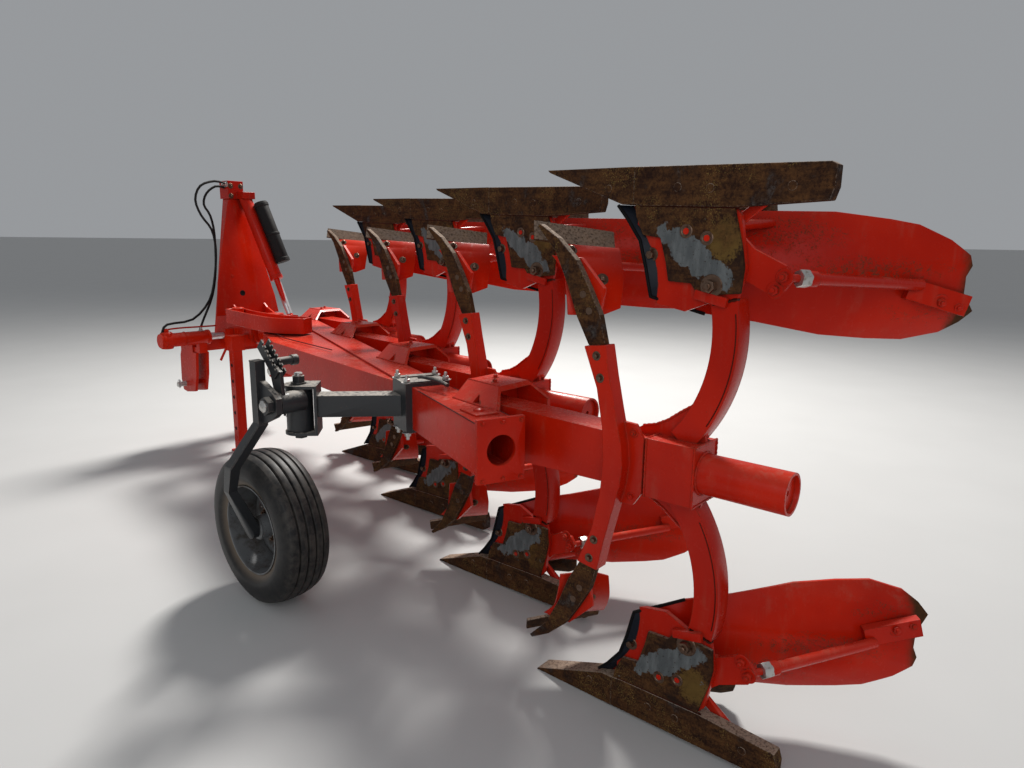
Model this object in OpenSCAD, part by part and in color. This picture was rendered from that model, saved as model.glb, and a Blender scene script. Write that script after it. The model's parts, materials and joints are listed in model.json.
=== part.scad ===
// Mounted four-furrow reversible plough with hydraulic non-stop body holders.
// X to the right, Y in the direction of travel, Z up, millimetres.
// Bodies are numbered from the rear; each pair has one body below and one above the frame.

/* [Layout] */
// Height of the frame's centre plane above the ground
plane_h = 908; // [860:1:960]
// Distance from one body to the next along the beam
body_pitch = 1020; // [960:5:1080]
// Angle of the beam from the direction of travel
beam_angle = 22; // [18:0.5:26]
// Number of body pairs
body_count = 4; // [2:1:5]
// Distance of the headstock's axle to the left of the front share tip
axle_left = 296; // [250:1:340]
// Place of the headstock's rear face ahead of the front share tip
head_gap = 493; // [470:1:560]

/* [Beam] */
// Width of the beam
beam_w = 150; // [120:1:180]
// Height of the beam
beam_h = 180; // [150:1:220]
// Wall of the beam
beam_t = 10; // [6:0.5:14]
// Width of the beam's end plate
end_plate_w = 178; // [160:1:200]
// Height of the beam's end plate
end_plate_h = 222; // [200:1:240]
// Thickness of the beam's end plate
end_plate_t = 20; // [12:1:30]
// Bore of the end plate
end_bore_d = 105; // [80:1:120]

/* [Body holder] */
// Width of the holder's box arm
arm_w = 130; // [110:1:150]
// Height of the arm at its rear
arm_h = 170; // [150:1:190]
// Outer diameter of the rear tube
tube_d = 125; // [110:1:140]
// Length of the rear tube behind the holder
tube_len = 265; // [220:1:320]
// Depth of the recess at the tube's end
tube_recess = 14; // [6:1:30]
// Bore in the tube's end cap
tube_cap_bore = 16; // [10:1:24]
// Radius of the leg's curve
leg_r = 493; // [470:1:520]
// Width of a leg seen from the side
leg_depth = 80; // [70:1:90]
// Width of a leg seen from behind
leg_w = 75; // [60:1:90]

/* [Plough body] */
// Angle of the mouldboard from the direction of travel
board_angle = 36; // [32:0.5:40]
// Radius to which the mouldboard is rolled
board_r = 420; // [380:1:480]
// Thickness of the mouldboard
board_t = 10; // [8:0.5:14]
// Fall of the roll's axis to the rear, in degrees
board_tilt = 7.6; // [4:0.1:10]
// Height of the landside
landside_h = 114; // [100:1:130]
// Thickness of the landside
landside_t = 46; // [30:1:60]
// Length of the landside
landside_len = 575; // [520:1:620]
// Length of the share's point
point_len = 330; // [300:1:360]
// Width of the share's wing
wing_len = 500; // [440:1:540]
// Thickness of the frog's side plate
frog_t = 12; // [8:1:16]
// Diameter of the mouldboard's stay
stay_d = 34; // [26:1:40]

/* [Skimmer] */
// Thickness of the skimmer's arm
skim_arm_w = 56; // [40:1:70]
// Width of the skimmer's stem
skim_stem_w = 60; // [45:1:70]
// Thickness of the skimmer's stem
skim_stem_t = 25; // [18:1:35]
// Thickness of the skimmer's mouldboard
skim_board_t = 8; // [6:0.5:12]

/* [Headstock] */
// Height of the mast's top above the ground
mast_top = 1870; // [1800:5:1950]
// Thickness of the mast's plates
mast_t = 16; // [10:1:22]
// Distance between the outer faces of the ears for the lower links
link_span = 825; // [680:5:970]
// Diameter of the lower link pins' free ends
link_pin_d = 36.6; // [28:0.1:40]
// Length of a pin's free end
link_pin_len = 60; // [50:1:110]
// Diameter of the pins in their ears
link_hole_d = 42; // [38:1:50]
// Distance of the lower link pins under the frame's plane
link_drop = 428; // [380:1:460]
// Height of the top link's bore above the lower pins
mast_link_h = 700; // [600:5:760]
// Bore for the top link pin
top_bore_d = 32; // [25:0.5:35]
// Diameter of the turnover axle
axle_d = 120; // [90:1:140]
// Running clearance of the axle in its bearing, radial
axle_clear = 0.05; // [0.01:0.01:0.1]

/* [Depth wheel] */
// Outer diameter of the tyre
tyre_d = 680; // [600:5:720]
// Width of the tyre
tyre_w = 220; // [190:5:250]
// Diameter of the rim
rim_d = 400; // [360:5:440]
// Diameter of the wheel's axle
wheel_axle_d = 40; // [30:1:50]
// Running clearance of the wheel and of the swing pin, radial
wheel_clear = 0.05; // [0.01:0.01:0.1]
// Diameter of the swing pin
swing_pin_d = 50; // [40:1:60]
// Width of the square bar that carries the wheel
wheel_bar_w = 90; // [70:1:110]

/* [Stand] */
// Width of the stand leg
stand_w = 70; // [60:1:80]
// Travel by which the stand is raised
stand_lift = 400; // [300:10:450]

/* [Hidden] */
$fn = 48;
origin_x = 561.278;
origin_y = 1393.659;
red = [0.78, 0.12, 0.07];
rust = [0.42, 0.27, 0.17];
dark = [0.16, 0.17, 0.18];
black = [0.06, 0.06, 0.06];
steel = [0.62, 0.62, 0.63];

step_x = body_pitch * sin(beam_angle);
step_y = body_pitch * cos(beam_angle);
axle_x = (body_count - 1) * step_x - axle_left;
head_y = (body_count - 1) * step_y + head_gap;

module place() { translate([-origin_x, -origin_y, 0]) children(); }
module at_body(k) { translate([k * step_x, k * step_y, plane_h]) children(); }
module both() { children(); mirror([0, 0, 1]) children(); }
module every_body() { place() for (k = [0 : body_count - 1]) at_body(k) both() children(); }
// A profile drawn in Y and Z, as thick as w, with its left face at x0.
module slab(x0, w) { translate([x0, 0, 0]) rotate([90, 0, 90]) linear_extrude(height = w) children(); }

// Beam
beam_x0 = -240;
beam_y0 = 3;
beam_len = (body_count - 1) * body_pitch + 440;
function beam_mid(y) = beam_x0 + (y - beam_y0) * tan(beam_angle);
function beam_left(y) = beam_mid(y) - beam_w / 2 / cos(beam_angle);
module on_beam() { place() translate([beam_x0, beam_y0, plane_h]) rotate([0, 0, -beam_angle]) children(); }
module main_beam() {
  color(red) difference() {
    on_beam() {
      difference() {
        translate([-beam_w / 2, end_plate_t, -beam_h / 2]) cube([beam_w, beam_len, beam_h]);
        translate([-beam_w / 2 + beam_t, end_plate_t - 1, -beam_h / 2 + beam_t])
          cube([beam_w - 2 * beam_t, 200, beam_h - 2 * beam_t]);
      }
      difference() {
        translate([-end_plate_w / 2, 0, -end_plate_h / 2]) cube([end_plate_w, end_plate_t, end_plate_h]);
        translate([0, -1, 0]) rotate([-90, 0, 0]) cylinder(d = end_bore_d, h = end_plate_t + 2);
      }
    }
    place() translate([0, crank_y, 0]) cube([3000, 600, 2 * plane_h]);
  }
}

// Front frame: the second member and the plates that join it to the beam
frame_h = 160;
frame_y0 = 790;
frame_y1 = head_y - 310;
// Half the width of the frame's front end, at the turning head
frame_end = 150;
module frame_outline() {
  polygon([[beam_left(frame_y0), frame_y0], [axle_x - 595, head_y - 1080], [axle_x - 430, head_y - 690],
    [axle_x - 210, head_y - 430], [axle_x - frame_end, frame_y1], [axle_x + frame_end, frame_y1],
    [beam_mid(head_y - 430), head_y - 430], [beam_mid(frame_y0), frame_y0]]);
}
module front_frame() {
  color(red) place() translate([0, 0, plane_h - frame_h / 2])
    linear_extrude(height = frame_h) difference() {
      frame_outline();
      frame_beam_cut();
    }
}
module frame_beam_cut() {
  translate([beam_x0, beam_y0]) rotate(-beam_angle) translate([-beam_w / 2, 0]) square([beam_w, beam_len + end_plate_t]);
}

// Brackets that carry the holders' arms on the beam
bracket_y = 130;
// Gap left where a bracket or an arm seats on the beam
seat_gap = 0.05;
// Outline of a bracket at the beam's face and at its top, which lies at bracket_z
bracket_z = 150;
bracket_mid = [[-125, bracket_y], [182, bracket_y], [182, 400], [-76, 400]];
bracket_top = [[-16, 220], [162, 226], [162, 406], [12, 406]];
// Mouth: outline behind the arm, and its length
bracket_mouth = [[-110, 0], [-110, 88], [-26, 136], [150, 136], [166, 88], [166, 0]];
mouth_len = 150;
// Running gap between an arm and the socket that it seats in
arm_gap = 0.3;
module arm_brackets() {
  color(red) place() for (k = [0 : body_count - 1]) at_body(k) difference() {
    hull() {
      translate([0, 0, -bracket_z]) linear_extrude(height = 2 * bracket_z) polygon(bracket_top);
      translate([0, 0, -beam_h / 2]) linear_extrude(height = beam_h) polygon(bracket_mid);
    }
    translate([arm_x - arm_gap, bracket_y - 1, -arm_front_h / 2 - arm_gap])
      cube([arm_w + 2 * arm_gap, arm_front_y - bracket_y + 1 + arm_gap, arm_front_h + 2 * arm_gap]);
    translate([0, bracket_y + mouth_len, 0]) rotate([90, 0, 0]) linear_extrude(height = mouth_len + 1) {
      polygon(bracket_mouth);
      mirror([0, 1]) polygon(bracket_mouth);
    }
    bracket_beam_cut(k);
  }
}
module bracket_beam_cut(k) {
  translate([beam_x0 - k * step_x, beam_y0 - k * step_y, -beam_h / 2]) rotate([0, 0, -beam_angle])
    translate([-beam_w / 2 - 600, -200, -seat_gap])
      cube([beam_w + 600 + seat_gap, beam_len + 400, beam_h + 2 * seat_gap]);
}

// Holder: box arm, rear tube and the two curved legs
arm_x = -60;
arm_front_y = 340;
arm_front_h = 200;
arm_rear_y = -600;
leg_cy = -150;
leg_cz = 411;
leg_x = -14;
leg_a0 = 167;
leg_a1 = 221;
// Plates that close the arm's rear end in a box
collar_y = -440;
collar_t = 8;
module holder(k) {
  color(red) place() at_body(k) {
    difference() {
      slab(arm_x, arm_w) polygon([[arm_front_y, -arm_front_h / 2], [arm_front_y, arm_front_h / 2],
      [-330, arm_h / 2], [arm_rear_y, arm_h / 2], [arm_rear_y, -arm_h / 2], [-330, -arm_h / 2]]);
      bracket_beam_cut(k);
    }
    rear_tube();
    both() {
      holder_leg();
      slab(leg_x + 20, 14) polygon([[-340, arm_h / 2], [-384, 112], [-430, 124], [-470, 145], [-516, 180],
        [-570, 215], [-600, arm_h / 2]]);
    }
    translate([arm_x - collar_t, arm_rear_y, -arm_h / 2 - collar_t])
      cube([arm_w + 2 * collar_t, collar_y - arm_rear_y, arm_h + 2 * collar_t]);
  }
}
module rear_tube() {
  translate([arm_x + arm_w / 2, arm_rear_y, 0]) rotate([90, 0, 0]) difference() {
    cylinder(d = tube_d, h = tube_len);
    translate([0, 0, tube_len - tube_recess]) cylinder(d = tube_d - 16, h = tube_recess + 1);
    translate([0, 0, tube_len - 60]) cylinder(d = tube_cap_bore, h = 61);
  }
}
module holder_leg() {
  translate([leg_x, leg_cy, leg_cz]) rotate([90, 0, 90]) rotate([0, 0, leg_a0])
    rotate_extrude(angle = leg_a1 - leg_a0, $fn = 96) translate([leg_r - leg_depth / 2, 0]) square([leg_depth, leg_w]);
}

// Plough body. The frame F has X along the mouldboard, Y out of its face and Z up from the ground.
land_x = -30;
board_n = -20;
board_az = 360;
foot = -plane_h;
// Thickness of the frog plate behind the board, and the gap at which curved faces seat
frog_core_t = 16;
seat_clear = 0.3;
module in_F() { translate([10, -400, foot]) rotate([0, 0, board_angle - 90]) children(); }
module board_core(r) {
  translate([-600, board_n + board_r, board_az + 600 * tan(board_tilt)])
    rotate([0, 90 + board_tilt, 0]) cylinder(r = r, h = 1900, $fn = 128);
}
// Outline of the mouldboard: place along it and height above the ground
board_outline = [[-118, landside_h + 0.3], [190, 128], [508, 130], [660, 150], [740, 165], [830, 208], [886, 250],
  [896, 280], [884, 312], [890, 360], [932, 414], [905, 448], [858, 482], [755, 508], [640, 506],
  [500, 496], [300, 458], [150, 436], [90, 418], [-16, 386], [-35, 296], [-53, 220], [-90, 157]];
// Foot of the board's shin, which meets the share
shin_foot = -118;
module mouldboard() {
  in_F() intersection() {
    difference() { board_core(board_r + board_t); board_core(board_r); }
    translate([0, 90, 0]) rotate([90, 0, 0]) linear_extrude(height = 200) polygon(board_outline);
  }
}
module mouldboards() { color(red) every_body() mouldboard(); }
share_outline = [[-330, 0], [310, 34], [wing_len - 155, 62], [wing_len - 155, 128.6], [190, 127.7],
  [shin_foot, landside_h], [-330, 84]];
module share_points() {
  color(rust) every_body() translate([0, 0, foot]) slab(land_x, landside_t + 24)
    polygon([[0, 0], [-8, 8], [-point_len + 40, landside_h], [-point_len, landside_h], [-point_len, 6]]);
}
module share_wings() {
  color(rust) every_body() difference() {
    in_F() intersection() {
      difference() { board_core(board_r + board_t); board_core(board_r); }
      translate([0, 400, 0]) rotate([90, 0, 0]) linear_extrude(height = 500) polygon(share_outline);
    }
    translate([land_x - 200, -1200, foot - 5]) cube([200 + landside_t + 24, 1400, 300]);
  }
}
// Top edge of the landside, on which the frog's plates stand
land_top = [[-point_len - 4, landside_h], [-360, landside_h + 5], [-646, landside_h + 14]];
land_end = -point_len - landside_len;
module landsides() {
  color(rust) every_body() translate([0, 0, foot]) slab(land_x, landside_t)
    polygon(concat([[-point_len, 6], [-point_len, landside_h]], land_top,
      [[land_end + 10, landside_h + 2], [land_end, landside_h - 30], [land_end, 30], [land_end + 14, 22]]));
}
// Outer side plate of the frog over the landside: place along the body and height above the ground
frog_side = [[-676, 236], [-686, 290], [-681, 362], [-575, 372], [-545, 360], [-530, 340], [-458, 337],
  [-447, 284], [-425, 212], [-366, 204], [-340, 150]];
// Frog plate behind the mouldboard, on which the leg ends
frog_core = [[-664, 150], [-690, 290], [-671, 376], [-580, 396], [-512, 424], [-391, 402], [-330, 420], [-340, 150]];
module frogs() {
  color(rust) every_body() difference() {
    slab(leg_x - frog_t, frog_t) polygon([for (p = concat(land_top, frog_side)) [p[0], p[1] + foot]]);
    in_F() board_core(board_r + board_t + seat_clear);
  }
}
module frog_plates() {
  color(red) every_body() difference() {
    slab(leg_x, frog_core_t) polygon([for (p = concat(land_top, frog_core)) [p[0], p[1] + foot]]);
    in_F() board_core(board_r + board_t + seat_clear);
  }
}
// Stay of the mouldboard: clevis on the frog, screw with its nut, tube and flattened end on the board
stay_eye = [10, -789, 314];
stay_nut = [65, -823, 317];
stay_end = [410, -1034, 336];
module rod(a, b, d) {
  v = b - a;
  l = norm(v);
  translate(a) rotate([0, acos(v[2] / l), atan2(v[1], v[0])]) cylinder(d = d, h = l);
}
module board_stays() {
  color(red) every_body() difference() {
    union() {
      translate([0, 0, foot]) {
        slab(leg_x + 16, 16) polygon([[-520, 300], [-540, 190], [-640, 182], [-700, 240], [-790, 282], [-812, 318],
          [-790, 350], [-740, 356], [-690, 330], [-600, 318]]);
        rod(stay_eye, stay_nut + 0.1 * (stay_end - stay_nut), 22);
        rod(stay_nut, stay_nut + 0.08 * (stay_end - stay_nut), 44);
        rod(stay_nut + 0.07 * (stay_end - stay_nut), stay_end, stay_d);
        rod([-2, -590, 180], [205, -665, 165], stay_d - 6);
        rod([18, -600, 200], [34, -770, 60], stay_d - 4);
      }
      in_F() translate([812, -46, 374]) rotate([0, -16, 0]) translate([-95, 0, -30]) cube([175, 30, 60]);
    }
    translate([0, 0, foot]) slab(leg_x - 60, 76) polygon([[-200, 0], [-200, 900], [-900, 900], [-900, 0]]);
    translate([0, 0, foot]) slab(land_x, landside_t + 0.5) polygon([[-500, 0], [-500, 182], [-1000, 182], [-1000, 0]]);
    in_F() board_core(board_r + board_t + seat_clear);
  }
}
// Skimmers
skim_x = arm_x - skim_arm_w;
skim_stem_x = skim_x + 22;
// Front and rear edges of the arm: place along the frame and height over its plane
skim_front = [[-228, 362], [-280, 236], [-306, 110], [-314, 0]];
skim_rear = [[-385, 0], [-378, 66], [-350, 176], [-326, 276], [-306, 372]];
// Lug by which the arm is bolted to the holder
skim_lug = [[-350, 134], [-404, 132], [-432, 88], [-432, 0]];
skim_lug_t = 14;
module skimmer_arms() {
  color(red) place() for (k = [0 : body_count - 1]) at_body(k) {
    slab(skim_x, skim_arm_w) for (s = [1, -1]) polygon([for (p = concat(skim_front, skim_rear)) [p[0], s * p[1]]]);
    slab(arm_x - skim_lug_t, skim_lug_t) for (s = [1, -1])
      polygon([for (p = concat([[-350, 0]], skim_lug)) [p[0], s * p[1]]]);
  }
}
function skim_end(y) = -362 + (y + 228) * 10 / 78;
module skimmer_stems() {
  color(rust) every_body() {
    slab(skim_stem_x, skim_stem_t) polygon([[-230, skim_end(-230)], [-292, skim_end(-292)],
      [-268, -460], [-222, -545], [-172, -625], [-100, -692], [-24, -737], [-14, -730], [-88, -652],
      [-142, -545], [-180, -450]]);
    in_S() rotate([0, -skim_rise, 0]) slab(skim_land, skim_share_len)
      polygon([[34, -6], [40, 0], [-4, 62], [-14, 56]]);
  }
}
// The skimmer's frame S has its origin at the share's tip, X along the share and Y out of the board's face
skim_tip = [-60, 5, -743];
skim_turn = 39;
skim_rise = 7;
skim_share_len = 280;
// Distance from the tip to the board's edge beside the stem
skim_land = -12;
module in_S() { translate(skim_tip) rotate([0, 0, -skim_turn]) children(); }
// The board is rolled round an axis along the share
skim_r = 300;
module skim_core(r) { translate([-100, 172, 315]) rotate([0, 90, 0]) cylinder(r = r, h = 600, $fn = 96); }
module skimmer_boards() {
  color(red) every_body() {
    in_S() difference() {
      intersection() {
        difference() { skim_core(skim_r + skim_board_t); skim_core(skim_r); }
        translate([0, 60, 0]) rotate([90, 0, 0]) linear_extrude(height = 400)
          polygon([[60, 50], [268, 75], [262, 180], [246, 272], [180, 296], [70, 292]]);
      }
      rotate([0, -skim_rise, 0]) slab(skim_land, 2 * skim_share_len)
        polygon([[-80, -60], [-80, 16.4 + seat_clear], [60, 100.4 + seat_clear], [60, -60]]);
    }
    difference() {
      slab(skim_stem_x + skim_stem_t, 18) polygon([[-250, -470], [-262, -540], [-172, -632], [20, -640], [20, -470]]);
      in_S() skim_core(skim_r + skim_board_t - 1);
    }
  }
}

// Depth wheel
spin_x = -333;
spin_y = 1050;
swing_y = 1000;
swing_z = 940;
hub_x = -395;
hub_y = 1242;
spin_d = 110;
bolt_d = 36;
bolt_gap = 0.3;
// The C bracket on the square bar: inner height over the barrel, its plates and its reach behind the barrel
fork_z0 = 800;
fork_z1 = 985;
fork_t = 12;
fork_w = 124;
fork_reach = 80;
bar_root = [30, 711];
bar_turn = atan2(bar_root[1] - spin_y, bar_root[0] - spin_x);
// Clamp of the bar on the beam, and its thickness
clamp_t = 14;
clamp_len = 170;
clamp_at = 762;
module at_spin() { translate([spin_x, spin_y, 0]) children(); }
module fork_plate(z) {
  translate([0, 0, z]) linear_extrude(height = fork_t) difference() {
    union() {
      circle(d = fork_w);
      translate([0, -fork_w / 2]) square([fork_reach, fork_w]);
    }
    circle(d = bolt_d);
  }
}
module wheel_bar() {
  color(dark) place() difference() {
    union() {
      at_spin() rotate([0, 0, bar_turn]) {
        translate([fork_reach - fork_t, -wheel_bar_w / 2, plane_h - wheel_bar_w / 2])
          cube([norm(bar_root - [spin_x, spin_y]) - fork_reach, wheel_bar_w, wheel_bar_w]);
        fork_plate(fork_z0 - fork_t);
        fork_plate(fork_z1);
        translate([fork_reach - fork_t, -fork_w / 2, fork_z0 - fork_t])
          cube([fork_t, fork_w, fork_z1 - fork_z0 + 2 * fork_t]);
      }
      translate([beam_x0, beam_y0, plane_h - beam_h / 2 - clamp_t]) rotate([0, 0, -beam_angle])
        translate([-beam_w / 2 - 2 * clamp_t, clamp_at - clamp_len / 2, 0])
          cube([beam_w + 3 * clamp_t, clamp_len, beam_h + 2 * clamp_t]);
    }
    translate([beam_x0, beam_y0, plane_h - beam_h / 2 - seat_gap]) rotate([0, 0, -beam_angle])
      translate([-beam_w / 2 - seat_gap, 0, 0]) cube([beam_w + 2 * seat_gap, beam_len, beam_h + 2 * seat_gap]);
    translate([0, 0, plane_h - beam_h]) linear_extrude(height = 2 * beam_h) difference() {
      offset_frame();
      frame_beam_cut();
    }
  }
}
// The front frame with a gap round it, for what seats beside it
module offset_frame() { translate([-seat_clear, -seat_clear]) frame_outline(); }
// Barrel that turns in the C bracket, with the boss and the pin on which the wheel's leg swings
module wheel_spindle() {
  color(dark) place() {
    at_spin() {
      translate([0, 0, fork_z0]) cylinder(d = spin_d, h = fork_z1 - fork_z0);
      translate([0, 0, fork_z0 - fork_t - 12]) cylinder(d = bolt_d - 2 * bolt_gap, h = fork_z1 - fork_z0 + 70);
      translate([0, 0, fork_z1 + fork_t]) cylinder(d = 62, h = 8);
      translate([0, 0, fork_z1 + fork_t + 8]) cylinder(d = 54, h = 26, $fn = 6);
      translate([0, 0, fork_z0 - fork_t - 20]) cylinder(d = 54, h = 20, $fn = 6);
    }
    translate([boss_x, swing_y, swing_z]) rotate([0, 90, 0]) cylinder(d = 88, h = spin_x - boss_x - 20);
    translate([lug_x - 26, swing_y, swing_z]) rotate([0, 90, 0]) cylinder(d = swing_pin_d, h = boss_x - lug_x + 27);
    translate([lug_x - 26, swing_y, swing_z]) rotate([0, 90, 0]) cylinder(d = 74, h = 24, $fn = 6);
    depth_stop();
  }
}
boss_x = -466;
lug_x = -496;
lug_t = 26;
// Toothed channel of the depth stop, its foot on the boss, and the knob of its catch
stop_len = 165;
stop_w = 38;
stop_t = 6;
teeth = 6;
module depth_stop() {
  translate([boss_x + 4, swing_y, swing_z]) {
    slab(8, 14) polygon([[-24, 20], [-14, 130], [30, 150], [60, 120], [30, 20]]);
    translate([0, 6, 110]) rotate([-45, 0, 0]) difference() {
      translate([0, -30, 0]) cube([stop_w, 48, stop_len]);
      translate([stop_t, -31, -1]) cube([stop_w - 2 * stop_t, 48 - stop_t + 1, stop_len + 2]);
      for (i = [1 : teeth]) translate([-1, -31, i * stop_len / (teeth + 1) - 6]) cube([stop_w + 2, 14, 12]);
    }
    translate([20, 62, 158]) rotate([0, 90, 0]) cylinder(d = 34, h = 86);
    translate([106, 62, 158]) rotate([0, 90, 0]) cylinder(d = 44, h = 26);
  }
}
// Leg: column, bend outwards and lower arm that reaches into the rim
column = [42, 44];
column_x = -512;
column_y = 1068;
column_z0 = 845;
column_z1 = 1104;
knee = [-597, 1160, 655];
arm_w_low = 44;
module wheel_leg() {
  color(dark) place() {
    translate([column_x, column_y, column_z0]) cube([column[0], column[1], column_z1 - column_z0]);
    difference() {
      slab(lug_x, lug_t) polygon([[swing_y - 46, swing_z - 30], [swing_y - 46, swing_z + 30], [swing_y - 20, swing_z + 50],
        [column_y + 4, swing_z + 90], [column_y + 4, swing_z - 90], [swing_y - 20, swing_z - 50]]);
      translate([lug_x - 1, swing_y, swing_z]) rotate([0, 90, 0])
        cylinder(d = swing_pin_d + 2 * wheel_clear, h = lug_t + 2);
    }
    hull() {
      translate([column_x, column_y, column_z0 - 1]) cube([column[0], column[1], 12]);
      translate(knee) cube([arm_w_low, 46, 12]);
    }
    hull() {
      translate(knee) cube([arm_w_low, 46, 12]);
      translate([-588, hub_y - 34, 545]) cube([38, 40, 6]);
    }
    hull() {
      translate([-588, hub_y - 34, 545]) cube([38, 40, 6]);
      translate([leg_foot_x, hub_y, tyre_d / 2]) rotate([0, 90, 0]) cylinder(d = 76, h = 32);
    }
    translate([leg_foot_x, hub_y, tyre_d / 2]) rotate([0, 90, 0]) cylinder(d = wheel_axle_d, h = wheel_axle_len);
  }
}
leg_foot_x = hub_x - 95;
wheel_axle_len = 170;
// Rim: barrel with its flanges, dished disc with hand holes, and hub
rim_t = 7;
hub_d = 104;
hole_count = 6;
module at_hub(x) { translate([hub_x + x, hub_y, tyre_d / 2]) rotate([0, 90, 0]) children(); }
module wheel_rim() {
  color(steel) place() difference() {
    union() {
      at_hub(0) rotate_extrude($fn = 96) polygon([[rim_d / 2 - 0.3, -92], [rim_d / 2 - 0.3, 92],
        [rim_d / 2 - rim_t - 0.3, 92], [rim_d / 2 - rim_t - 3, 60], [rim_d / 2 - 34, 40], [hub_d / 2 + 30, 24],
        [hub_d / 2, 24], [hub_d / 2, 16], [hub_d / 2 + 32, 16], [rim_d / 2 - 30, 32],
        [rim_d / 2 - rim_t - 12, 44], [rim_d / 2 - rim_t - 3, -60], [rim_d / 2 - rim_t - 0.3, -92]]);
      at_hub(-56) cylinder(d = hub_d, h = 116);
    }
    at_hub(-60) cylinder(d = wheel_axle_d + 2 * wheel_clear, h = 140);
    for (i = [0 : hole_count - 1]) at_hub(0) rotate([0, 0, i * 360 / hole_count])
      translate([(hub_d + rim_d) / 4, 0, 0]) cylinder(d = 42, h = 60);
  }
}
// Tyre with ribs round its tread
rib_count = 5;
groove_w = 9;
groove_depth = 12;
function tread_r(x) = tyre_d / 2 - 14 * pow(abs(x) / 90, 2.4);
rib_edge = [for (i = [1 : rib_count - 1]) (i / rib_count - 0.5) * 184];
tread = concat([[tread_r(92) - 12, -96], [tread_r(90), -88]],
  [for (x = rib_edge) for (q = [[-groove_w / 2, 0], [-groove_w / 2 + 2, groove_depth],
    [groove_w / 2 - 2, groove_depth], [groove_w / 2, 0]]) [tread_r(x + q[0]) - q[1], x + q[0]]],
  [[tread_r(90), 88], [tread_r(92) - 12, 96]]);
module wheel_tyre() {
  color(black) place() at_hub(0) rotate_extrude($fn = 96)
    polygon(concat([[rim_d / 2, 88], [rim_d / 2, -88], [rim_d / 2 + 14, -92], [rim_d / 2 + 40, -tyre_w / 2 + 1],
      [tyre_d / 2 - 74, -tyre_w / 2], [tyre_d / 2 - 48, -tyre_w / 2 + 4]], tread,
      [[tyre_d / 2 - 48, tyre_w / 2 - 4], [tyre_d / 2 - 74, tyre_w / 2], [rim_d / 2 + 40, tyre_w / 2 - 1],
      [rim_d / 2 + 14, 92]]));
}

// Turning head: the part of the frame that turns in the headstock, with the crank of the turnover cylinder
crank_y = head_y - 68;
crank_x = 190;
crank_z = 60;
module turning_head() {
  color(red) place() {
    difference() {
      union() {
        translate([axle_x, frame_y1, plane_h]) rotate([-90, 0, 0]) cylinder(d = 260, h = head_y - 80 - frame_y1);
        translate([axle_x, head_y - 81, plane_h]) rotate([-90, 0, 0]) cylinder(d = axle_d, h = 381);
      }
      translate([beam_x0, beam_y0, plane_h - 200]) rotate([0, 0, -beam_angle]) translate([-beam_w / 2, 0, 0])
        cube([beam_w + 300, beam_len + end_plate_t, 400]);
    }
    difference() {
      translate([axle_x, crank_y + 20, plane_h]) rotate([90, 0, 0]) linear_extrude(height = 20 - seat_gap)
        polygon([[-80, -100], [60, -110], [crank_x + 30, crank_z - 40], [crank_x + 45, crank_z],
          [crank_x + 25, crank_z + 40], [crank_x - 10, crank_z + 45], [60, 110], [-80, 100]]);
      translate([axle_x + crank_x, crank_y - 1, plane_h + crank_z]) rotate([-90, 0, 0]) cylinder(d = 40, h = 30);
    }
  }
}

// Headstock. Heights are taken from the frame's plane.
mast_y0 = head_y + 220;
mast_y1 = head_y + 610;
mast_yt = head_y + 370;
mast_z0 = plane_h - 168;
cross_h = 110;
stand_x = axle_x - 230;
stand_y = head_y + 75;
stand_gap = 0.5;
cyl_y = head_y + 300;
cyl_z = plane_h - 52;
// Bosses of the top link's pin: place, gap between them, diameter and length
top_link_y = mast_y1 - 125;
top_gap = 60;
top_boss_d = 76;
top_boss_len = 84;
// Outline of the plates that brace the mast on the axle's bearing
mast_gusset = [[head_y + 12, plane_h - 60], [head_y + 12, plane_h + 92], [head_y + 110, plane_h + 112],
  [head_y + 210, plane_h + 148], [head_y + 290, plane_h + 205], [head_y + 340, plane_h + 280],
  [head_y + 380, plane_h + 280], [head_y + 380, plane_h - 60]];
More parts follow.
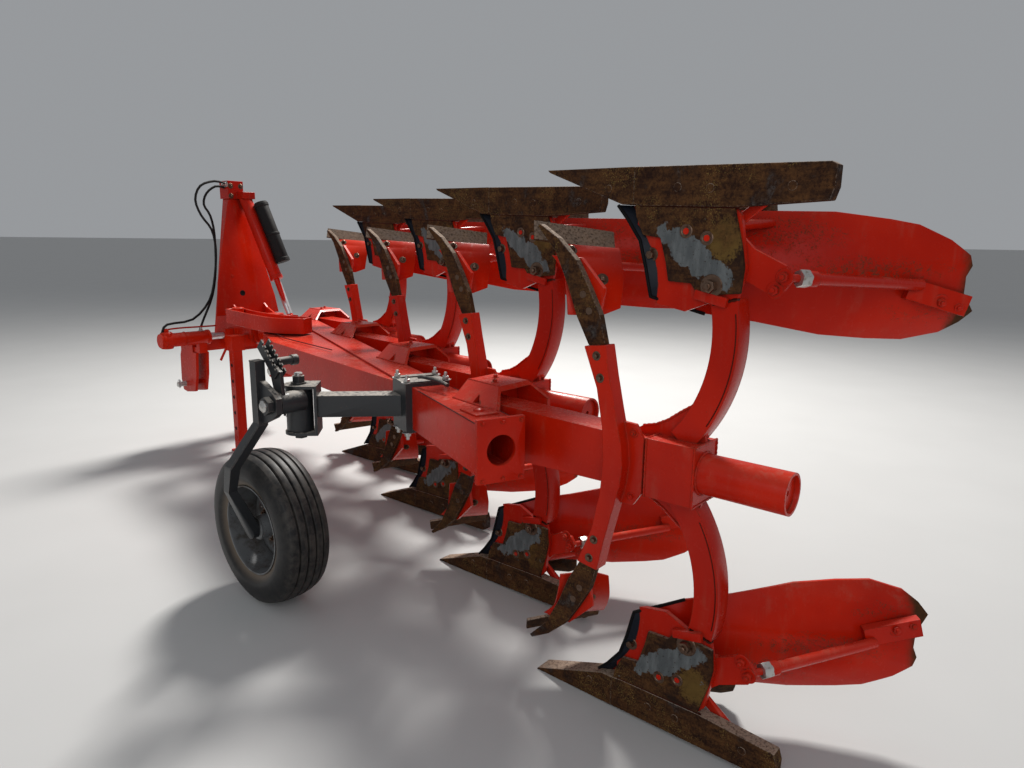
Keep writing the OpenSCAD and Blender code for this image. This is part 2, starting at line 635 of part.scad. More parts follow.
// Place of the offset cylinder's rod eye
offset_eye_x = axle_x - 200;
module mast() {
  color(red) place() difference() {
    union() {
      hull() {
        translate([axle_x - 130, mast_y0, mast_z0]) cube([260, mast_y1 - mast_y0, 10]);
        translate([axle_x - 50, mast_yt, mast_top - 10]) cube([100, 90, 10]);
      }
      for (s = [-1, 1]) translate([axle_x + s * top_gap / 2, top_link_y, link_z + mast_link_h])
        rotate([0, s * 90, 0]) cylinder(d = top_boss_d, h = top_boss_len);
      translate([axle_x, head_y, plane_h]) rotate([-90, 0, 0]) cylinder(d = 240, h = 300);
      translate([offset_eye_x, cyl_y - 30, cyl_z - 51]) cube([150, 60, 100]);
      for (s = [0, 1]) slab(axle_x - 131 + s * 250, 12) polygon(mast_gusset);
      translate([stand_x - stand_w / 2 - 15, stand_y - stand_w / 2 - 15, mast_z0 + 30])
        cube([stand_w + 30, stand_w + 30, 110]);
      translate([stand_x + stand_w / 2 + 1, stand_y - 30, mast_z0 + 50]) cube([120, 60, 90]);
    }
    difference() {
      hull() {
        translate([axle_x - 130 + mast_t, mast_y0 + mast_t, mast_z0 - 1])
          cube([260 - 2 * mast_t, mast_y1 - mast_y0, 10]);
        translate([axle_x - 50 + mast_t, mast_yt + mast_t, mast_top - 200]) cube([100 - 2 * mast_t, 400, 10]);
      }
      for (s = [-1, 1]) translate([axle_x + s * top_gap / 2, top_link_y, link_z + mast_link_h])
        rotate([0, s * 90, 0]) cylinder(d = top_boss_d, h = top_boss_len);
    }
    translate([axle_x, head_y - 1, plane_h]) rotate([-90, 0, 0]) cylinder(d = axle_d + 2 * axle_clear, h = 340);
    translate([axle_x - 200, top_link_y, link_z + mast_link_h]) rotate([0, 90, 0]) cylinder(d = top_bore_d, h = 400);
    translate([stand_x - stand_w / 2 - stand_gap, stand_y - stand_w / 2 - stand_gap, mast_z0 - 40])
      cube([stand_w + 2 * stand_gap, stand_w + 2 * stand_gap, 300]);
    translate([axle_x - link_span / 2, cross_y, mast_z0 - 1]) cube([link_span, cross_w, cross_h + 1]);
  }
}
// Cross member with the pairs of ears that carry the lower link pins
cross_y = head_y + 370;
cross_w = 190;
link_y = cross_y + cross_w - 30;
link_z = plane_h - link_drop;
ear_t = 20;
ear_in = 60;
module cross_member() {
  color(red) place() {
    translate([axle_x - link_span / 2, cross_y, mast_z0]) cube([link_span, cross_w, cross_h]);
    for (s = [-1, 1]) for (e = [0, ear_in + ear_t]) difference() {
      translate([axle_x + s * (link_span / 2 - e) - (s + 1) / 2 * ear_t, 0, 0])
        slab(0, ear_t) polygon([[cross_y, mast_z0], [cross_y - 50, mast_z0], [cross_y - 30, link_z + 90],
          [cross_y + 10, link_z - 40], [link_y - 20, link_z - 60], [link_y + 40, link_z - 50],
          [link_y + 62, link_z + 30], [cross_y + cross_w + 20, mast_z0 - 40], [cross_y + cross_w, mast_z0]]);
      translate([axle_x - link_span, link_y, link_z]) rotate([0, 90, 0]) cylinder(d = link_hole_d, h = 2 * link_span);
    }
  }
}
// Each pin has a free end outside the ears, with a hole for a linch pin, and a head inside them
module lower_link_pins() {
  color(steel) place() for (s = [-1, 1]) translate([axle_x + s * link_span / 2, link_y, link_z]) difference() {
    rotate([0, s * 90, 0]) {
      cylinder(d = link_pin_d, h = link_pin_len);
      translate([0, 0, -2 * ear_t - ear_in - 12]) cylinder(d = link_hole_d, h = 2 * ear_t + ear_in + 12);
      translate([0, 0, -2 * ear_t - ear_in - 24]) cylinder(d = 62, h = 24);
    }
    translate([s * (link_pin_len - 14), 0, -50]) cylinder(d = 11, h = 100);
  }
}
module top_block() {
  color(red) place() {
    translate([axle_x - 60, mast_yt - 20, mast_top]) cube([120, 130, 130]);
    translate([axle_x + 5, mast_yt - 110, mast_top]) cube([100, 100, 50]);
  }
}
// Cylinder that turns the plough over, from the mast's top to the crank
turn_a = [axle_x + 50, mast_yt - 52, mast_top + 20];
turn_b = [axle_x + 160, head_y + 120, 1290];
turn_eye = [axle_x + crank_x, crank_y + 46, plane_h + crank_z];
turn_d = 90;
module turnover_cylinder() {
  color(red) place() difference() {
    union() {
      rod(turn_a, turn_b, turn_d);
      rod(turn_b + 0.02 * (turn_a - turn_b), turn_eye, 45);
      translate([turn_eye[0], turn_eye[1] - 20, turn_eye[2]]) rotate([-90, 0, 0]) cylinder(d = 80, h = 40);
    }
    translate([axle_x - 200, head_y - 100, mast_top]) cube([500, 600, 200]);
    translate([axle_x, head_y - 100, plane_h]) rotate([-90, 0, 0]) cylinder(d = 240.6, h = 500);
    translate([turn_eye[0], turn_eye[1] - 50, turn_eye[2]]) rotate([-90, 0, 0]) cylinder(d = 36, h = 100);
  }
}
module offset_cylinder() {
  color(red) place() {
    rod([axle_x - 670, cyl_y, cyl_z], [axle_x - 330, cyl_y, cyl_z], 100);
    rod([axle_x - 330, cyl_y, cyl_z], [offset_eye_x, cyl_y, cyl_z], 45);
    translate([axle_x - link_span / 2 + 10, cyl_y - 25, mast_z0]) cube([60, cross_y - cyl_y + 25, 40]);
    translate([axle_x - link_span / 2 + 10, cyl_y - 25, mast_z0]) cube([60, 50, cyl_z - mast_z0]);
  }
}
// The tube lies against the cylinder, over this share of its length
tube_side = [0.613, -0.677, 0.406];
doc_d = 100;
module document_tube() {
  v = turn_b - turn_a;
  off = tube_side * (turn_d / 2 + doc_d / 2 + 0.3);
  color(black) place() rod(turn_a + 0.16 * v + off, turn_a + 0.84 * v + off, doc_d);
}
module stand_leg() {
  color(red) place() {
    translate([stand_x - stand_w / 2, stand_y - stand_w / 2, 12]) cube([stand_w, stand_w, plane_h - 38]);
    translate([stand_x - 55, stand_y - 55, 0]) cube([110, 110, 12]);
  }
}
// Hoses, clipped at both ends. A tube is swept along a smooth curve through its points.
hose_d = 18;
function mix(a, b, c, d, t) = 0.5 * (2 * b + (c - a) * t + (2 * a - 5 * b + 4 * c - d) * t * t
  + (3 * b - a - 3 * c + d) * t * t * t);
function curve(p, k) = let (n = len(p) - 1) [for (i = [0 : n - 1]) for (j = [0 : k - 1])
  mix(p[max(i - 1, 0)], p[i], p[i + 1], p[min(i + 2, n)], j / k), p[n]];
function unit(v) = v / norm(v);
module swept(p, d, sides = 8) {
  n = len(p);
  t = [for (i = [0 : n - 1]) unit(p[min(i + 1, n - 1)] - p[max(i - 1, 0)])];
  a = [for (i = [0 : n - 1]) unit(cross(t[i], [0, 1, 0]))];
  b = [for (i = [0 : n - 1]) cross(t[i], a[i])];
  polyhedron(
    points = [for (i = [0 : n - 1]) for (j = [0 : sides - 1])
      p[i] + d / 2 * (cos(360 * j / sides) * a[i] + sin(360 * j / sides) * b[i])],
    faces = concat([[for (j = [0 : sides - 1]) j]], [[for (j = [sides - 1 : -1 : 0]) (n - 1) * sides + j]],
      [for (i = [0 : n - 2]) for (j = [0 : sides - 1])
        [i * sides + (j + 1) % sides, i * sides + j, (i + 1) * sides + j, (i + 1) * sides + (j + 1) % sides]]));
}
// Points of each hose: from the block on the mast to the cylinder or the cross member
hoses_at = [
  [[-62, 370, 1067], [-150, 370, 1082], [-260, 370, 1042], [-305, 370, 942], [-270, 370, 832], [-200, 370, 732],
    [-178, 370, 592], [-200, 370, 392], [-260, 360, 212], [-410, 330, 82], [-610, 300, 62], [-650, 300, 4.5]],
  [[-62, 400, 1042], [-130, 405, 1047], [-200, 410, 992], [-225, 410, 912], [-182, 410, 832], [-160, 410, 692],
    [-170, 410, 442], [-210, 410, 242], [-290, 410, 72], [-325, 410, -8], [-335, 410, -56.5]],
];
module hoses() { color(black) place() for (p = hoses_at) translate([axle_x, head_y, plane_h]) swept(curve(p, 3), hose_d); }

mast();
cross_member();
lower_link_pins();
top_block();
turnover_cylinder();
offset_cylinder();
document_tube();
hoses();
stand_leg();
turning_head();
front_frame();
main_beam();
arm_brackets();
holder(0);  // holder_1
holder(1);  // holder_2
holder(2);  // holder_3
holder(3);  // holder_4
frogs();
frog_plates();
mouldboards();
share_points();
share_wings();
landsides();
board_stays();
skimmer_arms();
skimmer_stems();
skimmer_boards();
wheel_bar();
wheel_spindle();
wheel_leg();
wheel_rim();
wheel_tyre();
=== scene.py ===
"""Looks of a mounted four-furrow reversible plough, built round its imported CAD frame.

Lengths are metres. Places count from the share tip of the rear lower body, which stands on
the ground: x to the right, y in the direction of travel, z up. at() turns them into the
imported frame's coordinates. On a plough body they count from its own share tip, with z from
the plane that mirrors lower and upper bodies, and h is a height over the ground. On the
headstock they count from HEAD, on the ground below its turning axle.
"""
import json
import math
import bmesh
import bpy
from mathutils import Matrix, Vector


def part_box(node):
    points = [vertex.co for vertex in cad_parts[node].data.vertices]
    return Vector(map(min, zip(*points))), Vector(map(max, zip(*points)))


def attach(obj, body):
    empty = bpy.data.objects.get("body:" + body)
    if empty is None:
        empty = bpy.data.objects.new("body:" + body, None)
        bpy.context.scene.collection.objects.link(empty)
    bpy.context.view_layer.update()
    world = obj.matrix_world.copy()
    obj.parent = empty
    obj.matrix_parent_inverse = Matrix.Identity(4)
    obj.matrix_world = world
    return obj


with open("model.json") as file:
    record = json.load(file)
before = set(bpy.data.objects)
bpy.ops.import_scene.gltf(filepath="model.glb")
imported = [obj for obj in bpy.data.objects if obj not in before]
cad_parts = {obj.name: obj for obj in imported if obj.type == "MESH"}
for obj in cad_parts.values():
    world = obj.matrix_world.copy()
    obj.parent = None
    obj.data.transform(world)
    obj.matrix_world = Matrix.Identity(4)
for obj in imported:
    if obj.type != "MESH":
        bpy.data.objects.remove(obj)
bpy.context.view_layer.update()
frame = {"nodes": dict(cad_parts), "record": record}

UP = Vector((0, 0, 1))
LEFT = Vector((-1, 0, 0))
RIGHT = Vector((1, 0, 0))
BACK = Vector((0, -1, 0))
ORIGIN = Matrix.Identity(4)
MIRROR = Matrix.Scale(-1, 4, UP)
# Stands an outline's X on the travel and its Y on the height
YZ_PLANE = Matrix(((0, 0, 1, 0), (1, 0, 0, 0), (0, 1, 0, 0), (0, 0, 0, 1)))

# Left faces of a body's landside, frog, leg, holder arm and skimmer arm
LAND_X = -0.030
FROG_X = -0.026
CORE_X = -0.014
ARM_X = -0.060
SKIM_X = -0.116

# Layout of the frame: the mirror plane's height, and the row of bodies along the turned beam
PLANE = 0.908
PITCH = 1.02
BODIES = 4
BEAM_TURN = math.radians(22)
BEAM_AHEAD = Vector((math.sin(BEAM_TURN), math.cos(BEAM_TURN), 0))
BEAM_ACROSS = Vector((math.cos(BEAM_TURN), -math.sin(BEAM_TURN), 0))
STEP = PITCH * BEAM_AHEAD
share_low, share_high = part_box("share_points")
TIP = Vector((share_low.x - LAND_X, share_high.y - (BODIES - 1) * STEP.y, 0))

# A mouldboard's frame: its place, the ways along it and out of its face, and its rolled sheet
BOARD_AT = Vector((0.010, -0.400, 0))
BOARD_TURN = math.radians(36)
BOARD_ALONG = Vector((math.sin(BOARD_TURN), -math.cos(BOARD_TURN), 0))
BOARD_OUT = Vector((math.cos(BOARD_TURN), math.sin(BOARD_TURN), 0))
BOARD_TILT = math.radians(7.6)
BOARD_AXIS_H = 0.360
BOARD_AXIS_OUT = 0.400
BOARD_R = 0.420
BOARD_T = 0.010

# The curved leg's middle line with its angles in degrees, and the skimmer board's share tip
# and rolled sheet
LEG_Y = -0.150
LEG_Z = 0.411
LEG_R = 0.493
LEG_DEPTH = 0.080
LEG_FROM = 167
LEG_TO = 221
SKIM_TIP = Vector((-0.060, 0.005, -0.743))
SKIM_TURN = math.radians(39)
SKIM_R = 0.308
SKIM_AXIS_OUT = 0.172
SKIM_AXIS_Z = 0.315

# Main beam's end, depth wheel, and headstock with its two cylinders
BEAM_END = (-0.240, 0.003, PLANE)
BEAM_TOP = 0.0902
HUB = (-0.395, 1.242, 0.340)
TYRE_RADIUS = 0.340
SWING = (-0.466, 1.000, 0.940)
SPIN = (-0.333, 1.050)
HEAD = Vector((3 * STEP.x - 0.296, 3 * STEP.y + 0.493, 0))
CRANK_PIN = Vector((0.190, -0.022, PLANE + 0.060))
GLAND = Vector((0.160, 0.120, 1.290))
BARREL_TOP = Vector((0.050, 0.318, 1.890))
OFFSET_Y = 0.300
OFFSET_Z = PLANE - 0.052
ROD_RADIUS = 0.0232

# Camera of the photograph
CAMERA_AT = (-1.904, -1.476, 1.592)
CAMERA_RIGHT = Vector((0.65544891, -0.75513257, 0.0127096))
CAMERA_UP = Vector((0.14419546, 0.14164403, 0.9793593))
CAMERA_BACK = Vector((-0.74134634, -0.64008732, 0.20172712))
FOCAL_PIXELS = 699.1
IMAGE_WIDTH = 1024
SENSOR = 36

# Colours of dirt and rust, and of painted shade in corners
DUST = (0.30, 0.22, 0.15)
SOIL = (0.085, 0.036, 0.016)
# Painted shade in corners and seams of the red paint
CORNER_SHADE = (0.060, 0.016, 0.010)
RUST_DARK = (0.020, 0.007, 0.004)
RUST_LIGHT = (0.100, 0.042, 0.014)
RUST_YELLOW = (0.200, 0.125, 0.035)
# Colours of the red paint, the boards, the rusty steel, the dark paint, the rubber and the rim
RED_DEEP = (0.420, 0.0090, 0.0015)
RED_FRESH = (0.590, 0.0170, 0.0025)
# Painted sunlight on the tops of the red paint
RED_SUNLIT = (0.620, 0.080, 0.050)
# The shin's dark steel with painted shade over it, along a board's front
SHIN_SHADE = (0.010, 0.012, 0.018)
FACE_DARK = (0.052, 0.027, 0.017)
FACE_LIGHT = (0.112, 0.064, 0.037)
FACE_RUBBED = (0.150, 0.128, 0.112)
EARTH_WET = (0.016, 0.008, 0.006)
# Painted sunlight, tan, on what faces up on the rusty steel
SUNLIT_TAN = (0.40, 0.30, 0.23)
STEEL_RUBBED = (0.150, 0.150, 0.150)
STEEL_EDGE = (0.30, 0.25, 0.21)
PATCH_DARK = (0.085, 0.092, 0.095)
PATCH_LIGHT = (0.150, 0.160, 0.162)
BLOOM = (0.170, 0.100, 0.024)
GREY_DEEP = (0.012, 0.013, 0.015)
GREY_FRESH = (0.028, 0.030, 0.033)
GREY_DUST = (0.42, 0.38, 0.33)
GREY_SCUFF = (0.14, 0.11, 0.09)
GREY_RUST = (0.12, 0.06, 0.03)
RUBBER_BLACK = (0.008, 0.008, 0.009)
TYRE_DARK = (0.005, 0.005, 0.006)
TYRE_LIGHT = (0.014, 0.014, 0.015)
TYRE_DUST = (0.20, 0.17, 0.14)
RIM_SILVER = (0.150, 0.155, 0.160)
RIM_DIRT = (0.060, 0.048, 0.040)
# Painted shade in the rim's corners
RIM_CORNER_SHADE = (0.030, 0.024, 0.020)

# This way across the row of bodies tells one from the next
ROW_ACROSS = Vector((0.88, 0.48, 0))
ROW_STEP = ROW_ACROSS.dot(STEP)
ROW_MIDDLE = -0.2

# Mud on a board's back: centre along it and over the ground, reach, and strength
MUD_SPOTS = (((0.60, 0.300), (0.34, 0.070), 0.85),
             ((0.36, 0.200), (0.30, 0.090), 0.80),
             ((0.78, 0.420), (0.20, 0.050), 0.60))

# Edges of the CAD pieces that turn by more than EDGE_ANGLE are rounded by EDGE. The small
# shapes have broken edges of this profile, and their edges over SHARP stay crisp
EDGE = 0.0025
EDGE_ANGLE = math.radians(40)
CHAMFER_PROFILE = 0.6
SHARP = math.radians(32)


def at(x, y, z):
    """A place given from the rear share tip, in the frame's coordinates."""
    return Vector((x, y, z)) + TIP


def body_places():
    """Matrices from a body's own coordinates to each lower and upper body."""
    lower = [Matrix.Translation(TIP + k * STEP + PLANE * UP) for k in range(BODIES)]
    return lower + [place @ MIRROR for place in lower]


HEAD_PLACE = Matrix.Translation(at(*HEAD))
BEAM_PLACE = Matrix.Translation(at(*BEAM_END)) @ Matrix.Rotation(-BEAM_TURN, 4, "Z")


# Node graphs of the materials

def graph(name):
    """A new material, and a function that adds a node with its settings and inputs."""
    material = bpy.data.materials.new(name)
    material.use_nodes = True
    tree = material.node_tree
    tree.nodes.clear()

    def add(kind, settings=None, **inputs):
        node = tree.nodes.new("ShaderNode" + kind)
        for key, value in (settings or {}).items():
            setattr(node, key, value)
        for key, value in inputs.items():
            socket = socket_named(node, key)
            if isinstance(value, bpy.types.NodeSocket):
                tree.links.new(value, socket)
            else:
                socket.default_value = value
        return node

    return material, add


def socket_named(node, key):
    """The input of that name, in lower case with underscores, or of the number after in_."""
    if key.startswith("in_"):
        return node.inputs[int(key[3:])]
    for socket in node.inputs:
        if socket.name.lower().replace(" ", "_") == key and socket.enabled:
            return socket
    raise KeyError(key)


def math_node(add, operation, a, b=0.0):
    return add("Math", {"operation": operation}, in_0=a, in_1=b).outputs[0]


def plus(add, a, b):
    return math_node(add, "ADD", a, b)


def minus(add, a, b):
    return math_node(add, "SUBTRACT", a, b)


def times(add, first, *factors):
    for factor in factors:
        first = math_node(add, "MULTIPLY", first, factor)
    return first


def most(add, a, b):
    return math_node(add, "MAXIMUM", a, b)


def around_zero(add, value, reach):
    """A noise moved from a half to zero and drawn out to the reach."""
    return times(add, minus(add, value, 0.5), reach)


def dot(add, a, b):
    return add("VectorMath", {"operation": "DOT_PRODUCT"}, in_0=a, in_1=b).outputs[1]


def ramp(add, value, low, high):
    """0 below low, 1 above high, smooth between."""
    return add("MapRange", {"interpolation_type": "SMOOTHSTEP"}, value=value, from_min=low,
               from_max=high).outputs[0]


def between(add, value, low, high):
    """Low where the value is 0, high where it is 1."""
    return add("MapRange", value=value, to_min=low, to_max=high).outputs[0]


def noise(add, place, scale, detail=4.0, roughness=0.55, distortion=0.0):
    return add("TexNoise", vector=place, scale=scale, detail=detail, roughness=roughness,
               distortion=distortion).outputs[0]


def stretched(add, place, scale, detail=4.0):
    """Noise drawn out along the axis whose scale is smallest."""
    moved = add("Mapping", vector=place)
    moved.inputs["Scale"].default_value = scale
    return noise(add, moved.outputs[0], 1.0, detail, 0.6)


def mix(add, factor, a, b):
    """Colour a where the factor is 0, b where it is 1."""
    node = add("Mix", {"data_type": "RGBA"}, in_0=factor)
    for index, value in ((6, a), (7, b)):
        if isinstance(value, bpy.types.NodeSocket):
            node.id_data.links.new(value, node.inputs[index])
        else:
            node.inputs[index].default_value = (*value, 1)
    return node.outputs[2]


def layered(add, color, *layers):
    """The colour with layers over it, each an amount and a colour."""
    for amount, stain in layers:
        color = mix(add, amount, color, stain)
    return color


def surface(add):
    """The place on a piece, and how far its face looks up."""
    coords = add("TexCoord")
    return coords.outputs["Object"], add("SeparateXYZ", vector=coords.outputs["Normal"]).outputs[2]


def body_frame(add, place):
    """Place to the right, along the travel and over the ground, the same on each body and half."""
    parts = add("SeparateXYZ", vector=place)
    x, y, z = parts.outputs[0], parts.outputs[1], parts.outputs[2]
    across = minus(add, dot(add, place, tuple(ROW_ACROSS)), ROW_ACROSS.dot(TIP) + ROW_MIDDLE)
    index = math_node(add, "ROUND", math_node(add, "DIVIDE", across, ROW_STEP))
    own_x = minus(add, minus(add, x, TIP.x), times(add, index, STEP.x))
    own_y = minus(add, minus(add, y, TIP.y), times(add, index, STEP.y))
    from_plane = math_node(add, "ABSOLUTE", minus(add, z, PLANE))
    return own_x, own_y, minus(add, PLANE, from_plane)


def spot(add, values, centres, sizes):
    """1 at the centre, falling to 0 at the sizes' distance."""
    total = 0.0
    for value, centre, size in zip(values, centres, sizes):
        away = math_node(add, "DIVIDE", minus(add, value, centre), size)
        total = plus(add, times(add, away, away), total)
    return minus(add, 1.0, math_node(add, "MINIMUM", total, 1.0))


def edge_wear(add, radius, grain):
    """1 on edges, where the rounded normal leaves the true one, broken up by the grain."""
    rounded = add("Bevel", {"samples": 4}, radius=radius).outputs[0]
    same = dot(add, rounded, add("NewGeometry").outputs["Normal"])
    return times(add, ramp(add, same, 0.985, 0.90), ramp(add, grain, 0.44, 0.58))


def painted_crevice_shade(add, distance):
    """1 in corners and seams, where painted shade is laid on the colour."""
    open_air = add("AmbientOcclusion", {"samples": 4}, distance=distance).outputs["AO"]
    return ramp(add, open_air, 0.75, 0.35)


def finish(add, color, roughness, bump, metallic=0.0, depth=0.001, shine=0.5):
    height = add("Bump", height=bump, distance=depth, strength=0.6)
    shader = add("BsdfPrincipled", base_color=color, roughness=roughness, metallic=metallic,
                 normal=height.outputs[0], specular_ior_level=shine)
    add("OutputMaterial", surface=shader.outputs[0])


# Finishes

def red_layers(add, place, facing, dust):
    """Colour, roughness and relief of the red paint, with painted sunlight on top and painted shade in
    corners, and two of its noises for further stains.
    """
    broad = noise(add, place, 1.7)
    middle = noise(add, place, 9, 6, 0.65, 0.4)
    fine = noise(add, place, 42, 6, 0.65)
    speck = noise(add, place, 170, 3, 0.6)
    streak = stretched(add, place, (34, 34, 2.6))
    upward = ramp(add, facing, 0.30, 0.90)
    # Painted sunlight: what faces up is lighter
    red_sunlight = times(add, upward, ramp(add, broad, 0.20, 0.70), 0.45)
    dusty = times(add, upward, ramp(add, fine, 0.40, 0.70), ramp(add, middle, 0.46, 0.66), dust)
    film = times(add, ramp(add, streak, 0.50, 0.72), ramp(add, middle, 0.40, 0.62), 0.30 * dust)
    # Painted shade: darker in corners and seams
    corner_shade = times(add, painted_crevice_shade(add, 0.035), ramp(add, middle, 0.35, 0.55))
    soiled = times(add, ramp(add, middle, 0.62, 0.74), ramp(add, fine, 0.50, 0.66), 0.20)
    chips = times(add, ramp(add, speck, 0.70, 0.75), ramp(add, middle, 0.52, 0.64))
    rusty = most(add, chips, times(add, edge_wear(add, 0.004, fine), 0.8))
    paint = layered(add, mix(add, ramp(add, broad, 0.35, 0.68), RED_DEEP, RED_FRESH),
                    (red_sunlight, RED_SUNLIT), (dusty, DUST), (film, DUST), (times(add, corner_shade, 0.50), CORNER_SHADE),
                    (soiled, SOIL), (rusty, mix(add, fine, RUST_DARK, RUST_LIGHT)))
    dull = most(add, rusty, most(add, dusty, corner_shade))
    rough = between(add, plus(add, times(add, fine, 0.30), dull), 0.18, 0.70)
    relief = minus(add, times(add, fine, 0.5), rusty)
    return paint, rough, relief, middle, fine


def red_paint():
    """Glossy red paint, lighter on top with painted sunlight, dusty on top, darker in corners with painted
    shade, with chips and worn edges.
    """
    material, add = graph("red paint")
    place, facing = surface(add)
    paint, rough, relief, _, _ = red_layers(add, place, facing, 0.35)
    finish(add, paint, rough, relief, depth=0.0007, shine=0.16)
    return material


def board_paint():
    """A board's muddy red back with its torn edge and a black band along its front, the shin's dark steel
    with painted shade over it, and its scoured face.
    """
    material, add = graph("board paint")
    place, facing = surface(add)
    paint, rough, relief, middle, fine = red_layers(add, place, facing, 0.30)
    x, y, h = body_frame(add, place)
    along = minus(add, times(add, minus(add, x, BOARD_AT.x), BOARD_ALONG.x),
                  times(add, minus(add, BOARD_AT.y, y), BOARD_ALONG.y))
    mud = 0.0
    for centre, reach, strength in MUD_SPOTS:
        mud = most(add, mud, times(add, spot(add, (along, h), centre, reach), strength))
    specks = around_zero(add, noise(add, place, 210, 5, 0.75), 4.0)
    mud = ramp(add, plus(add, mud, plus(add, specks, around_zero(add, fine, 2.0))), 0.70, 1.25)
    low_front = minus(add, times(add, h, 0.461), 0.1715)
    high_front = minus(add, times(add, h, 0.211), 0.0975)
    from_front = minus(add, along, math_node(add, "MINIMUM", low_front, high_front))
    # The shin's dark steel along the board's front, with painted shade over it
    shin_shade = times(add, ramp(add, from_front, 0.052, 0.040), ramp(add, h, 0.402, 0.394))
    torn = ramp(add, plus(add, along, times(add, middle, 0.06)), 0.885, 0.925)
    rust = mix(add, noise(add, place, 120, 5, 0.7), RUST_DARK, RUST_LIGHT)
    back = layered(add, paint, (times(add, mud, 0.8), SOIL), (shin_shade, SHIN_SHADE), (torn, rust))
    score = stretched(add, place, (2, 2, 210))
    blotched = plus(add, times(add, fine, 0.45), times(add, middle, 0.55))
    rubbed = times(add, ramp(add, score, 0.42, 0.70), ramp(add, middle, 0.40, 0.62), 0.55)
    unworn = ramp(add, plus(add, h, times(add, middle, 0.16)), 0.50, 0.56)
    face = layered(add, mix(add, ramp(add, blotched, 0.34, 0.66), FACE_DARK, FACE_LIGHT),
                   (rubbed, FACE_RUBBED), (unworn, back))
    front = dot(add, add("TexCoord").outputs["Normal"], tuple(BOARD_OUT))
    color = mix(add, ramp(add, front, 0.25, 0.45), back, face)
    rough = most(add, rough, times(add, most(add, mud, torn), 0.8))
    relief = plus(add, relief, times(add, mud, 0.6))
    finish(add, color, rough, relief, depth=0.0008, shine=0.12)
    return material


def steel_layers(add, place, facing, tan):
    """Colour and relief of rusty steel, fine grained, with earth in its pores and tan painted sunlight on
    what faces up, and two noises.
    """
    broad = noise(add, place, 6, 6, 0.6, 0.4)
    grain = noise(add, place, 110, 6, 0.72)
    fleck = noise(add, place, 260, 3, 0.6)
    score = stretched(add, place, (70, 9, 70), 6)
    blotch = noise(add, place, 24, 6, 0.7, 0.6)
    tone = plus(add, times(add, plus(add, grain, blotch), 0.38), times(add, score, 0.24))
    wet = times(add, ramp(add, broad, 0.50, 0.66), 0.75)
    yellow = times(add, ramp(add, fleck, 0.54, 0.66), ramp(add, broad, 0.52, 0.36))
    # Painted sunlight: what faces up is tan
    steel_sunlight = times(add, ramp(add, facing, 0.25, 0.85), ramp(add, grain, 0.30, 0.56), tan)
    color = layered(add, mix(add, ramp(add, tone, 0.40, 0.62), RUST_DARK, RUST_LIGHT),
                    (wet, EARTH_WET), (yellow, RUST_YELLOW), (steel_sunlight, SUNLIT_TAN))
    return color, plus(add, grain, times(add, score, 0.6)), broad, grain


def worn_steel():
    """Rusty steel of the shares and landsides, with tan painted sunlight on top."""
    material, add = graph("worn steel")
    place, facing = surface(add)
    color, relief, broad, grain = steel_layers(add, place, facing, 0.8)
    rubbed = times(add, ramp(add, broad, 0.58, 0.66), ramp(add, grain, 0.40, 0.55), 0.25)
    polished = times(add, edge_wear(add, 0.003, grain), 0.6)
    color = layered(add, color, (rubbed, STEEL_RUBBED), (polished, STEEL_EDGE))
    rough = between(add, most(add, rubbed, polished), 0.86, 0.45)
    finish(add, color, rough, relief, depth=0.0012, shine=0.15)
    return material


def frog_steel():
    """The frog's side: rust with a worn blue-grey patch, and a yellow bloom at its rear."""
    material, add = graph("frog steel")
    place, facing = surface(add)
    # Painted sunlight on top, less than on the shares
    color, relief, broad, grain = steel_layers(add, place, facing, 0.5)
    _, y, h = body_frame(add, place)
    slanted = plus(add, times(add, plus(add, y, 0.535), 0.60), minus(add, h, 0.262))
    patch = spot(add, (slanted, y), (0.0, -0.535), (0.062, 0.150))
    patch = plus(add, patch, around_zero(add, noise(add, place, 26, 6, 0.6), 2.0))
    patch = times(add, ramp(add, patch, 0.34, 0.46), ramp(add, grain, 0.30, 0.42))
    scratch = stretched(add, place, (50, 50, 14), 6)
    grey = mix(add, ramp(add, scratch, 0.34, 0.74), PATCH_DARK, PATCH_LIGHT)
    bloom = spot(add, (y, h), (-0.625, 0.215), (0.075, 0.090))
    bloom = ramp(add, plus(add, bloom, around_zero(add, grain, 1.6)), 0.40, 0.75)
    bloom = times(add, bloom, ramp(add, broad, 0.35, 0.65), 0.7)
    color = layered(add, color, (bloom, BLOOM), (patch, grey))
    relief = minus(add, relief, times(add, patch, 0.5))
    rough = between(add, patch, 0.85, 0.48)
    finish(add, color, rough, relief, depth=0.0012, shine=0.15)
    return material


def dark_paint():
    """Satin dark grey paint with pale dust on top, scuffed edges and a few rust specks."""
    material, add = graph("dark paint")
    place, facing = surface(add)
    fine = noise(add, place, 60, 5, 0.65)
    dusty = times(add, ramp(add, facing, 0.35, 0.90), ramp(add, fine, 0.34, 0.56))
    specks = ramp(add, noise(add, place, 120, 3), 0.70, 0.76)
    color = layered(add, mix(add, noise(add, place, 3), GREY_DEEP, GREY_FRESH),
                    (times(add, dusty, 0.75), GREY_DUST), (edge_wear(add, 0.004, fine), GREY_SCUFF),
                    (specks, GREY_RUST))
    rough = between(add, plus(add, times(add, fine, 0.4), dusty), 0.34, 0.75)
    finish(add, color, rough, fine, depth=0.0005)
    return material


def bright_steel(name, tint, dull):
    """Metal of one tint with a brushed grain and dull spots."""
    material, add = graph(name)
    place = add("TexCoord").outputs["Object"]
    spots = noise(add, place, 70, 5)
    color = mix(add, ramp(add, spots, 0.5, 0.75), tint, dull)
    finish(add, color, between(add, spots, 0.22, 0.55), stretched(add, place, (400, 400, 12), 3),
           metallic=0.9, depth=0.0002)
    return material


